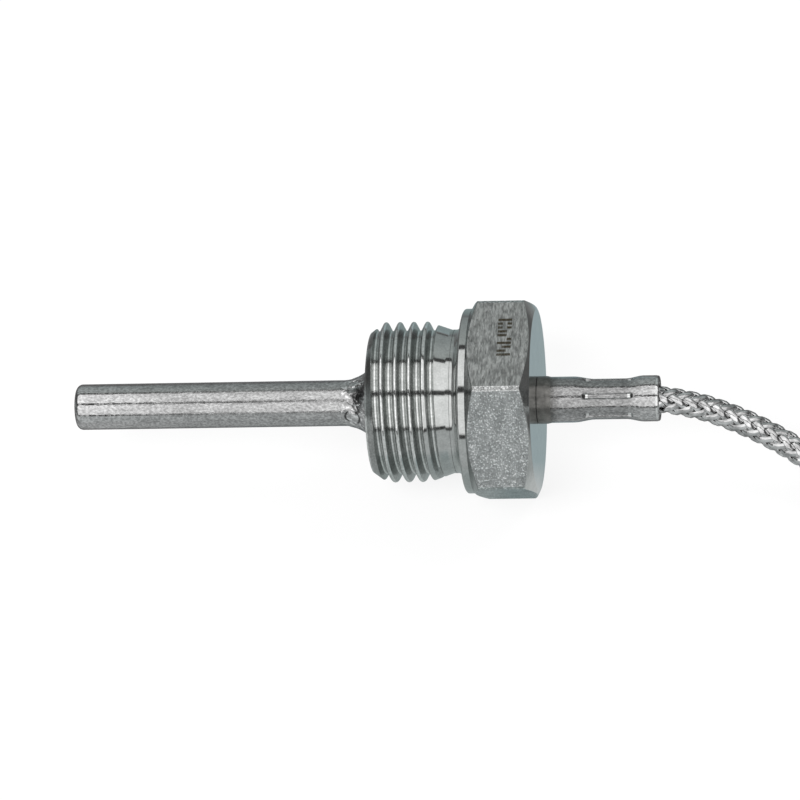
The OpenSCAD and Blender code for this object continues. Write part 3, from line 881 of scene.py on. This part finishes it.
# %% [markdown]
# ## Materials
#
# Steel has no colour of its own to speak of: its look is made by what it
# mirrors and by how its surface was finished. So each finish is a metallic
# shader with a grain. The grain sets the roughness, a slight change of
# colour, and a very shallow bump, and its direction tells how the surface
# was made: round the axis where it was turned, along it where it was drawn.

# %% Node helpers
def add(tree, kind, sockets=None, **settings):
    """Adds a node, sets its options, and fills or wires its sockets."""
    made = tree.nodes.new(kind)
    for name, value in settings.items():
        setattr(made, name, value)
    for name, value in (sockets or {}).items():
        if isinstance(value, bpy.types.NodeSocket):
            tree.links.new(value, made.inputs[name])
        else:
            made.inputs[name].default_value = value
    return made


def new_tree(name):
    material = bpy.data.materials.new(name)
    material.use_nodes = True
    material.node_tree.nodes.clear()
    return material, material.node_tree


def maths(tree, operation, *values):
    """The result of a Math node on its values."""
    return add(tree, "ShaderNodeMath", dict(enumerate(values)), operation=operation).outputs[0]


def own_place(tree):
    """A point's place in metres, and its X, Y and Z by name."""
    place = add(tree, "ShaderNodeTexCoord").outputs["Object"]
    return place, add(tree, "ShaderNodeSeparateXYZ", {0: place}).outputs


def grain(tree, per_mm, detail=3.0, roughness=0.55):
    """Noise of so many grains to the millimetre: one number, or one each for X, Y and Z."""
    scale = add(tree, "ShaderNodeMapping", {
        "Vector": own_place(tree)[0], "Scale": np.broadcast_to(per_mm, 3) / MM}).outputs["Vector"]
    return add(tree, "ShaderNodeTexNoise", {
        "Vector": scale, "Scale": 1.0, "Detail": detail, "Roughness": roughness}).outputs["Fac"]


def levels(tree, value, low, high, to_low=0.0, to_high=1.0):
    """Maps a range of a value to another, and stops at its ends."""
    return add(tree, "ShaderNodeMapRange", {
        "Value": value, "From Min": low, "From Max": high,
        "To Min": to_low, "To Max": to_high}).outputs["Result"]


def blend_colours(tree, share, first, second, how="MIX"):
    """Two colours mixed, or multiplied, by a share from 0 to 1."""
    made = add(tree, "ShaderNodeMix", {0: share}, data_type="RGBA", blend_type=how)
    for socket, colour in zip([k for k in made.inputs if k.type == "RGBA"], (first, second)):
        if isinstance(colour, bpy.types.NodeSocket):
            tree.links.new(colour, socket)
        else:
            socket.default_value = (*colour, 1.0)
    return next(k for k in made.outputs if k.type == "RGBA")

# %% Ramps, bumps and masks
def ramp(tree, share, stops):
    """A colour that changes with a share; stops are (share from 0 to 1, colour)."""
    made = add(tree, "ShaderNodeValToRGB", {"Fac": share})
    elements = made.color_ramp.elements
    while len(elements) > 1:
        elements.remove(elements[0])
    for i, (position, colour) in enumerate(stops):
        element = elements[0] if i == 0 else elements.new(position)
        element.position, element.color = position, (*colour, 1)
    return made.outputs["Color"]


def ramp_along_x(tree, stops):
    """A colour that changes along the tube's axis; stops are (x in millimetres, colour)."""
    first, last = stops[0][0], stops[-1][0]
    share = levels(tree, own_place(tree)[1]["X"], first * MM, last * MM)
    return ramp(tree, share, [((x - first) / (last - first), c) for x, c in stops])


def times(tree, first, second):
    return blend_colours(tree, 1.0, first, second, "MULTIPLY")


def bump(tree, height, depth, **under):
    """A bump from a height that runs from 0 to 1, over the given depth in metres."""
    sockets = {"Height": height, "Distance": depth, "Strength": 1.0, **under}
    return add(tree, "ShaderNodeBump", sockets).outputs["Normal"]


def box_mask(tree, value, low, high, soft):
    """1 between two values, with soft ends."""
    rise = levels(tree, value, low - soft, low + soft)
    fall = levels(tree, value, high - soft, high + soft, 1.0, 0.0)
    return maths(tree, "MULTIPLY", rise, fall)


def finish(tree, **sockets):
    """Ends a material with one shader; names with _ stand for names with spaces."""
    named = {k.replace("_", " "): v for k, v in sockets.items()}
    shader = add(tree, "ShaderNodeBsdfPrincipled", named)
    add(tree, "ShaderNodeOutputMaterial", {"Surface": shader.outputs["BSDF"]})

# %% A steel with a grain
WARM = (1.0, 0.98, 0.93)
# The parts of a noise's range that count for clouds, streaks, specks and sparks, the painted glints
CLOUDS, STREAKS, SPECKS, SPARKS = (0.35, 0.65), (0.3, 0.7), (0.35, 0.7), (0.57, 0.68)


def grey(level, tint=(1.0, 1.0, 1.0)):
    return tuple(level * t for t in tint)


def cool(level, blue=0.005):
    """A grey that leans a little to green and blue, as stainless steel does."""
    return level, level + 0.015, level + blue


def steel(name, dark, light, rough, streaks, streak_depth, mottle=0.9,
          speckle=None, glint=0.0, shade=None, rough_shade=None, mark=None):
    """A metal with streaks from its making, softer mottling, and fine specks.

    A speckle is (grains to the millimetre, bump depth, share of the colour), and
    a glint paints highlights on its highest grains; the shades change the colour,
    which can paint light and shade, and the roughness along X; a mark is a function
    that stains or darkens the colour.
    """
    material, tree = new_tree(name)
    lines = grain(tree, streaks, detail=4.0)
    clouds = grain(tree, mottle, detail=2.0)
    colour = blend_colours(tree, levels(tree, clouds, *CLOUDS), dark, light)
    roughness = levels(tree, lines, *STREAKS, *rough)
    normal = bump(tree, lines, streak_depth)
    if speckle:
        fineness, depth, share = speckle
        specks = grain(tree, fineness, detail=1.0, roughness=0.6)
        normal = bump(tree, specks, depth, Normal=normal)
        dots = levels(tree, specks, *SPECKS)
        colour = times(tree, colour, blend_colours(
            tree, dots, grey(1 - share), grey(1 + share / 2)))
        if glint:
            sparks = levels(tree, specks, *SPARKS)
            colour = times(tree, colour, blend_colours(
                tree, sparks, grey(1.0), grey(1.0 + glint)))
    if shade:
        colour = times(tree, colour, ramp_along_x(tree, shade))
    if rough_shade:
        roughness = maths(tree, "MULTIPLY", roughness, ramp_along_x(tree, rough_shade))
    if mark:
        colour = mark(tree, colour)
    finish(tree, Base_Color=colour, Metallic=1.0, Roughness=roughness, Normal=normal)
    return material

# %% The tube's steel
# How bright the tube's skin is along it: darker and warm by the rear weld, heat tint
# and painted shade; brighter at the tip and the mouth, painted highlight; darker
# along the crimped sleeve, painted shade
TUBE_TINT_AND_PAINTED_LIGHT = [
    (-60, grey(1.25)), (-49, grey(1.2)), (-40, grey(1.0)), (9, grey(1.0)),
    (10, grey(0.22, WARM)), (11.2, grey(0.3, (1.0, 0.99, 0.96))),
    (12.5, grey(0.74)), (21, grey(0.74)), (23, grey(1.1)), (26, grey(1.16)),
]
# How the roughness changes along it: the tip and the crimped end are smoother
TUBE_ROUGH = [
    (-60, grey(0.6)), (-46, grey(0.7)), (-36, grey(1.35)), (8, grey(1.35)), (11, grey(1.0)),
    (26, grey(0.8)),
]
tube_steel = steel(
    "drawn_steel", grey(0.54), grey(0.66), (0.1, 0.2), (0.12, 4.0, 4.0), 0.004 * MM,
    mottle=(0.5, 1.5, 1.5), speckle=((2.6, 4.0, 4.0), 0.012 * MM, 0.36), shade=TUBE_TINT_AND_PAINTED_LIGHT,
    rough_shade=TUBE_ROUGH)

# %% The fitting's steels
def off_the_lathe(name, dark, light, rough, depth=0.004 * MM, share=0.2):
    """Steel with fine rings about the axis."""
    return steel(name, dark, light, rough, (7.0, 0.1, 0.1), 0.001 * MM,
                 speckle=(4.0, depth, share))


turned_steel = off_the_lathe(
    "turned_steel", cool(0.58), cool(0.66), (0.05, 0.12), 0.001 * MM, 0.08)
# The thread's flanks take a darker copy of the turned steel: painted shade
thread_flank_shade_steel = off_the_lathe("thread_flank_shade_steel", cool(0.42), cool(0.52), (0.1, 0.18))
# The hexagon's front chamfer takes a darker steel: painted shade
shaded_chamfer_steel = off_the_lathe(
    "shaded_chamfer_steel", cool(0.3, 0.01), cool(0.38, 0.01), (0.12, 0.2))
# A brighter steel that paints highlights on the thread's crests and roots, the mouth's ground band
# and the jaws' ends in the crimp pockets
highlight_steel = steel(
    "painted_highlight_steel", cool(0.84), cool(0.95), (0.06, 0.14), 2.0,
    0.001 * MM, speckle=(3.5, 0.004 * MM, 0.2))
# The corner lands take a brighter steel with a beaded grain: a painted highlight along each corner
beaded_highlight_steel = steel(
    "beaded_highlight_edge", cool(0.58, 0.01), cool(0.74, 0.01), (0.2, 0.3), 2.0,
    0.001 * MM, mottle=0.5, speckle=(3.6, 0.05 * MM, 0.35), glint=0.7)

# %% The welds' steels, and the braid's
# The weld is darker in one patch, and one ripple below it has its two ends darkened: painted
# reflections of dark arcs
DARK_PATCH_AT = (-13.9 * MM, -1.15 * MM, 3.4 * MM)
DARK_PATCH_R = (0.8 * MM, 1.3 * MM)
DARK_ARC_AT = (-14.66 * MM, -3.08 * MM, 1.0 * MM)
DARK_ARC_R = (0.88 * MM, 1.12 * MM)
WELD_DARK = grey(0.045)


def weld_marks(tree, colour):
    """Darkens a patch, and paints a dark reflection on the two ends of one ripple."""
    place, part = own_place(tree)
    wobble = grain(tree, 1.5)

    def away_from(point, ragged):
        gap = add(tree, "ShaderNodeVectorMath", {0: place, 1: point}, operation="DISTANCE")
        shift = levels(tree, wobble, *STREAKS, -ragged, ragged)
        return maths(tree, "ADD", gap.outputs["Value"], shift)

    dark_patch = levels(tree, away_from(DARK_PATCH_AT, 0.4 * MM), *DARK_PATCH_R, 0.75, 0.0)
    dark_arc = box_mask(tree, away_from(DARK_ARC_AT, 0.06 * MM), *DARK_ARC_R, 0.06 * MM)
    aside = maths(tree, "ABSOLUTE", maths(tree, "SUBTRACT", part["X"], DARK_ARC_AT[0]))
    ends = levels(tree, aside, 0.5 * DARK_ARC_R[0], 0.75 * DARK_ARC_R[0], 0.0, 0.9)
    depth = maths(tree, "MAXIMUM", dark_patch, maths(tree, "MULTIPLY", dark_arc, ends))
    return blend_colours(tree, depth, colour, WELD_DARK)


weld_steel = steel(
    "weld_steel", grey(0.5), grey(0.78), (0.08, 0.2), 1.5, 0.01 * MM,
    speckle=(2.4, 0.05 * MM, 0.3), glint=0.5, mark=weld_marks)
tinted_steel = steel(
    "heat_tinted_steel", grey(0.16, WARM), grey(0.245, WARM), (0.28, 0.4), (0.5, 3.0, 3.0),
    0.006 * MM, speckle=((3.0, 4.0, 4.0), 0.01 * MM, 0.1))
braid_steel = steel(
    "braid_steel", grey(0.46), grey(0.95), (0.05, 0.12), 1.2, 0.002 * MM)
print("finishes so far:", [m.name for m in bpy.data.materials])

# %% [markdown]
# The flats of the hexagon are rougher than the rest. A cutter has left fine
# lines across them, and between the lines painted glints make the metal
# sparkle. One flat is ground smoother and carries a laser mark: a small block
# of dashes set by chance, a brown stain in the steel without any depth.

# %% Flats and their mark
MARK_X = (5.15 * MM, 6.95 * MM)
MARK_Y = (-2.0 * MM, 4.2 * MM)
MARK_ROWS = 10
MARK_DASHES = 3
MARK_SHARE = 0.62
MARK_BARE = 0.34
MARK_EDGE = 0.01 * MM
MARK_BROWN = (0.075, 0.06, 0.035)


def laser_mark(tree, colour):
    """Stains rows of dashes; a white noise says which dashes are there."""
    part = own_place(tree)[1]
    row = levels(tree, part["Y"], *MARK_Y, 0.0, float(MARK_ROWS))
    dash = levels(tree, part["X"], *MARK_X, 0.0, float(MARK_DASHES))
    cell = add(tree, "ShaderNodeCombineXYZ", {
        0: maths(tree, "FLOOR", row), 1: maths(tree, "FLOOR", dash), 2: 0.0}).outputs[0]
    chance = add(tree, "ShaderNodeTexWhiteNoise", {"Vector": cell}).outputs["Value"]
    in_row = maths(tree, "FRACT", row)
    depth = box_mask(tree, in_row, (1 - MARK_SHARE) / 2, (1 + MARK_SHARE) / 2, 0.08)
    for mask in (
            maths(tree, "GREATER_THAN", chance, MARK_BARE),
            box_mask(tree, part["Y"], *MARK_Y, MARK_EDGE),
            box_mask(tree, part["X"], *MARK_X, MARK_EDGE),
            levels(tree, grain(tree, 3.0, detail=2.0), 0.3, 0.6, 0.7, 0.95)):
        depth = maths(tree, "MULTIPLY", depth, mask)
    return blend_colours(tree, depth, colour, MARK_BROWN)


ground_steel = steel(
    "ground_steel", cool(0.48), cool(0.58), (0.24, 0.42), (5.0, 0.7, 0.7), 0.03 * MM,
    mottle=0.4, speckle=((4.5, 1.1, 1.1), 0.04 * MM, 0.45),
    mark=laser_mark)
milled_steel = steel(
    "milled_steel", (0.43, 0.45, 0.45), (0.6, 0.625, 0.625), (0.24, 0.38), (4.5, 1.2, 1.2),
    0.015 * MM, mottle=(0.8, 0.35, 0.35), speckle=((4.6, 4.0, 4.0), 0.045 * MM, 0.26),
    glint=0.7)

# %% [markdown]
# Everything else takes one of two simple finishes: a skin with pores, for
# plastic, resin and ceramic, or the fine lines of drawn wire, for the small
# metal pieces.

# %% Plastic, ceramic and small metal finishes
def plastic(name, colour, rough=0.45, skin=1.5, depth=0.01 * MM, shade=0.82):
    material, tree = new_tree(name)
    pores = grain(tree, skin)
    share = levels(tree, pores, *STREAKS)
    mixed = blend_colours(tree, share, grey(shade, colour), colour)
    roughness = levels(tree, pores, *STREAKS, rough, rough + 0.12)
    finish(tree, Base_Color=mixed, Roughness=roughness, Normal=bump(tree, pores, depth))
    return material


def wire_metal(name, colour, rough=0.28):
    material, tree = new_tree(name)
    lines = grain(tree, (0.8, 6.0, 6.0))
    mixed = blend_colours(tree, lines, grey(0.85, colour), colour)
    roughness = levels(tree, lines, *STREAKS, rough, rough + 0.12)
    finish(tree, Base_Color=mixed, Metallic=1.0, Roughness=roughness,
           Normal=bump(tree, lines, 0.002 * MM))
    return material


red_plastic = plastic("red_insulation", (0.55, 0.035, 0.025), 0.35)
white_plastic = plastic("white_insulation", (0.8, 0.79, 0.76), 0.35)
black_plastic = plastic("black_strip", (0.02, 0.02, 0.021), 0.42, shade=0.7)
sleeve_plastic = plastic("shrunk_sleeve", (0.018, 0.018, 0.018), 0.5, skin=2.5, shade=0.7)
NODE_FINISHES = {
    "sensing_element": plastic("element_ceramic", (0.85, 0.82, 0.74), 0.5, 3.0),
    "element_bedding": plastic("bedding_powder", (0.7, 0.64, 0.53), 0.85, 5.0, 0.05 * MM),
    "ceramic_spacer": plastic("spacer_ceramic", (0.86, 0.84, 0.79), 0.55, 3.0),
    "joint_sleeves": plastic("sleeve_film", (0.62, 0.45, 0.14), 0.3),
    "cable_seal": plastic("seal_resin", (0.05, 0.05, 0.055), 0.3),
    "cable_jacket": plastic("inner_jacket", (0.25, 0.09, 0.045), 0.4),
    "crimp_liner": plastic("liner_sleeve", (0.015, 0.015, 0.015), 0.6),
    "red_cores": red_plastic,
    "white_cores": white_plastic,
    "cable_braid": braid_steel,
    "wire_joints": wire_metal("brazed_joint", (0.75, 0.6, 0.32)),
    "element_leads": wire_metal("element_wire", (0.78, 0.76, 0.72)),
    "bare_wires": wire_metal("bare_wire", (0.77, 0.76, 0.73)),
}
ferrule_metal = wire_metal("tinned_ferrule", (0.74, 0.74, 0.73), 0.22)

# %% [markdown]
# Most pieces wear one finish. The tube and the thread wear more, chosen face
# by face: a brighter steel paints highlights on the ground band at the mouth,
# at the jaws' ends in the crimp pockets, and on the thread's crests and roots;
# a darker steel paints shade on the thread's flanks.

# %% Give each piece its finish
# How far from the crest and from the root the painted highlight reaches
CREST_HIGHLIGHT = 0.16 * MM
ROOT_HIGHLIGHT = 0.04 * MM
# How far the painted highlight reaches inwards and outwards of a jaw's end, and up its side
JAW_GLINT_IN, JAW_GLINT_OUT, JAW_GLINT_UP = 0.25 * MM, 0.1 * MM, 0.12 * MM


def from_axis(vector):
    return math.hypot(vector.y, vector.z)


def wear(piece, *materials):
    piece.data.materials.clear()
    for material in materials:
        piece.data.materials.append(material)


for node, material in NODE_FINISHES.items():
    for shown in frame["nodes"][node].material_slots:
        shown.material = material
# The tube's second finish paints highlights on the mouth's ground band and at the jaws' ends
wear(probe_tube, tube_steel, highlight_steel)
for face in probe_tube.data.polygons:
    ground = mouth_x - MOUTH_EDGE - MOUTH_GRIND[0] < face.center.x < mouth_x - MOUTH_EDGE
    from_middle = abs(face.center.x - CRIMP_MID)
    jaw_glint = JAW_HALF - JAW_GLINT_IN < from_middle < JAW_HALF + JAW_GLINT_OUT
    pocket = from_axis(face.center) < CRIMP_FLOOR_R + JAW_GLINT_UP
    outside = face.center.y * face.normal.y + face.center.z * face.normal.z > 0
    level = from_axis(face.normal) > 0.9
    face.material_index = int(outside and (ground or (jaw_glint and pocket and level)))
# On the thread, the brighter steel paints highlights on crests and roots, and the darker one paints
# shade on the flanks
wear(pipe_thread, thread_flank_shade_steel, turned_steel, highlight_steel)
for face in pipe_thread.data.polygons:
    r = from_axis(face.center)
    uncut = r > float(blank_radius(face.center.x)) - 0.02 * MM
    if face.center.x > RELIEF_X - 1 * MM and uncut:
        face.material_index = 1
    elif r > thread_r - CREST_HIGHLIGHT or r < root_r + ROOT_HIGHLIGHT:
        face.material_index = 2
for material, pieces in (
        (tube_steel, [end_plug]), (weld_steel, [front_weld]), (tinted_steel, [rear_weld]),
        (braid_steel, [woven_piece]), (sleeve_plastic, [sleeve_piece]),
        (black_plastic, tie_pieces), (red_plastic, lead_pieces["red"]),
        (white_plastic, lead_pieces["white"]), (ferrule_metal, ferrule_pieces)):
    for piece in pieces:
        wear(piece, material)

jacket_black = plastic("cable_jacket", (0.02, 0.018, 0.017), 0.5)
wear(cord_piece, braid_steel, jacket_black)
for face in cord_piece.data.polygons:
    face.material_index = int(face.index < len(jacket[1]))

# %% [markdown]
# The hexagon wears five finishes, chosen face by face. Its flats are milled,
# but the top one is ground; the narrow lands on the corners take a brighter
# beaded steel, a painted highlight; the front chamfer takes a darker steel,
# painted shade; and everything else is bright from turning.

# %% Flats and turned faces
LEVEL = 0.02


def off_flat(normal):
    """Degrees between a level face and the nearest flat."""
    turned_by = math.degrees(math.atan2(normal.z, normal.y)) % 60
    return abs(turned_by - 30)


wear(hexagon, turned_steel, milled_steel, ground_steel, beaded_highlight_steel, shaded_chamfer_steel)
for face in hexagon.data.polygons:
    beyond_collar = COLLAR_LEN + EDGE_BREAK < face.center.x < hex_len - EDGE_BREAK
    on_chamfer = (face.center.x > 0.5 * COLLAR_LEN
                  and from_axis(face.center) > COLLAR_R - EDGE_BREAK)
    if abs(face.normal.x) < LEVEL and beyond_collar:
        on_corner = off_flat(face.normal) > 2
        face.material_index = 3 if on_corner else 2 if face.normal.z > 0.99 else 1
    elif face.normal.x < -LEVEL and on_chamfer:
        face.material_index = 4
print("faces that aren't turned:", sum(face.material_index > 0 for face in hexagon.data.polygons))

# %% [markdown]
# ## Floor, cards and light
#
# The floor is white and keeps a faint shadow. Metal shows what surrounds
# it, so the part stands inside a tent: a large sphere that only reflections
# see, with two long soft boxes overhead, narrow dark gaps beside and between
# them, and grey sides. A mat of the same kind lies on the floor, and its
# greys change along the part. Lamps light what isn't metal.

# %% Floor
def plane(name, size, z, material):
    half = size / 2
    mesh = bpy.data.meshes.new(name)
    mesh.from_pydata(
        [(-half, -half, z), (half, -half, z), (half, half, z), (-half, half, z)],
        [], [(0, 1, 2, 3)])
    mesh.materials.append(material)
    return placed(name, mesh)


def seen_ray(tree):
    """1 for rays from the camera, for reflections and for rays through glass."""
    path = add(tree, "ShaderNodeLightPath").outputs
    direct = maths(tree, "MAXIMUM", path["Is Camera Ray"], path["Is Glossy Ray"])
    return maths(tree, "MAXIMUM", direct, path["Is Transmission Ray"])


def shining(tree, colour):
    return add(tree, "ShaderNodeEmission", {"Color": colour, "Strength": 1.0}).outputs[0]


FLOOR_GLOW = 0.86


def floor_material():
    material, tree = new_tree("white_floor")
    matt = add(tree, "ShaderNodeBsdfDiffuse", {"Color": (0.9, 0.9, 0.9, 1)}).outputs[0]
    share = maths(tree, "MULTIPLY", seen_ray(tree), FLOOR_GLOW)
    mixed = add(tree, "ShaderNodeMixShader", {0: share, 1: matt, 2: shining(tree, (1, 1, 1, 1))})
    add(tree, "ShaderNodeOutputMaterial", {"Surface": mixed.outputs[0]})
    return material


plane("floor", 6.0, floor_z - 0.02 * MM, floor_material())

# %% The tent, seen by reflections only
def only_reflected(made):
    for ray in ("camera", "diffuse", "transmission", "volume_scatter", "shadow"):
        setattr(made, f"visible_{ray}", False)


TENT_R = 0.5
DARK_GAP = grey(0.05)
# Angle about the tube's axis in degrees, from +Y over the top, and the brightness there
TENT_LEVELS = [
    (-30, (0.24, 0.27, 0.27)), (10, (0.32, 0.35, 0.35)), (44, (0.42, 0.45, 0.445)),
    (52, (0.4, 0.425, 0.42)), (53, DARK_GAP), (59, DARK_GAP), (60, grey(1.0)),
    (107.4, grey(1.1)), (108.6, DARK_GAP), (115.8, DARK_GAP), (117, grey(1.1)), (167, grey(1.0)),
    (168, DARK_GAP), (173, DARK_GAP), (174, (0.52, 0.54, 0.54)), (215, (0.48, 0.5, 0.5)),
]
TENT_END = 0.09
TENT_POLE = (0.28, 0.3, 0.3)
# Where the ends and the front pole fade in, as the X of a direction
TENT_FRONT, TENT_REAR, POLE = (-0.82, -0.7), (0.62, 0.85), (-0.985, -0.95)


def tent_material():
    material, tree = new_tree("light_tent")
    unit = add(tree, "ShaderNodeVectorMath", {0: own_place(tree)[0]}, operation="NORMALIZE")
    part = add(tree, "ShaderNodeSeparateXYZ", {0: unit.outputs[0]}).outputs
    angle = maths(tree, "ARCTAN2", part["Z"], part["Y"])
    turned_on = maths(tree, "ADD", angle, math.pi / 2)
    share = maths(tree, "DIVIDE", maths(tree, "WRAP", turned_on, 2 * math.pi, 0.0), 2 * math.pi)
    colour = ramp(tree, share, [((degrees + 90) / 360, c) for degrees, c in TENT_LEVELS])
    front = levels(tree, part["X"], *TENT_FRONT, 1.0, 0.0)
    rear = levels(tree, part["X"], *TENT_REAR)
    colour = blend_colours(tree, maths(tree, "ADD", front, rear), colour, grey(TENT_END))
    colour = blend_colours(tree, levels(tree, part["X"], *POLE, 1.0, 0.0), colour, TENT_POLE)
    add(tree, "ShaderNodeOutputMaterial", {"Surface": shining(tree, colour)})
    return material


def tent():
    mesh = bpy.data.meshes.new("light_tent")
    work = bmesh.new()
    bmesh.ops.create_uvsphere(work, u_segments=48, v_segments=24, radius=TENT_R)
    work.to_mesh(mesh)
    work.free()
    mesh.materials.append(tent_material())
    return placed("light_tent", mesh)

# %% The mat
# Places along X in millimetres, and the mat's colour there: behind the part and under it
MAT_BEHIND = [
    (-80, grey(0.16)), (-54, grey(0.18)), (-20, (0.2, 0.21, 0.215)), (-8, (0.25, 0.3, 0.3)),
    (8, (0.33, 0.4, 0.41)), (13, (0.33, 0.4, 0.42)), (16, (0.28, 0.31, 0.31)),
    (24, grey(0.22)), (30, grey(0.12)),
]
MAT_UNDER = [
    (-80, grey(0.2)), (-54, (0.46, 0.47, 0.47)), (-20, (0.42, 0.44, 0.44)),
    (-12, (0.28, 0.31, 0.305)), (-6, (0.38, 0.41, 0.405)), (2, (0.36, 0.4, 0.4)),
    (5, (0.26, 0.31, 0.315)), (8, (0.26, 0.31, 0.315)), (10.5, (0.58, 0.6, 0.6)),
    (16, (0.58, 0.6, 0.6)), (20, (0.42, 0.44, 0.44)), (30, (0.42, 0.44, 0.44)),
]
MAT_BEFORE = (0.5, 0.52, 0.52)
MAT_EDGES = ((-34 * MM, -20 * MM), (-6 * MM, -1 * MM))


def mat_material():
    material, tree = new_tree("grey_mat")
    y = own_place(tree)[1]["Y"]
    colour = MAT_BEFORE
    for edge, stops in zip(MAT_EDGES, (MAT_UNDER, MAT_BEHIND)):
        colour = blend_colours(
            tree, levels(tree, y, *edge), colour, ramp_along_x(tree, stops))
    add(tree, "ShaderNodeOutputMaterial", {"Surface": shining(tree, colour)})
    return material


only_reflected(tent())
only_reflected(plane("grey_mat", 1.0, floor_z + 0.03 * MM, mat_material()))

# %% Lamps and world
def lamp(name, place, size, power):
    data = bpy.data.lights.new(name, "AREA")
    data.shape, data.size, data.energy = "DISK", size, power
    made = placed(name, data)
    made.location = place
    made.rotation_euler = (-Vector(place)).to_track_quat("-Z", "Y").to_euler()
    made.visible_glossy = False


lamp("key_lamp", (-0.25, -0.45, 0.8), 0.5, 7.0)
lamp("fill_lamp", (0.5, 0.35, 0.7), 0.5, 3.5)

# The sky is dimmer as a light than it is to look at
SKY_AS_LIGHT = 0.55
world = bpy.data.worlds.new("studio")
bpy.context.scene.world = world
world.use_nodes = True
sky_tree = world.node_tree
sky_tree.nodes.clear()
strength = levels(sky_tree, seen_ray(sky_tree), 0.0, 1.0, SKY_AS_LIGHT, 1.0)
sky = add(sky_tree, "ShaderNodeBackground", {"Color": (1, 1, 1, 1), "Strength": strength})
add(sky_tree, "ShaderNodeOutputWorld", {"Surface": sky.outputs[0]})
bpy.context.scene.view_settings.view_transform = "Standard"
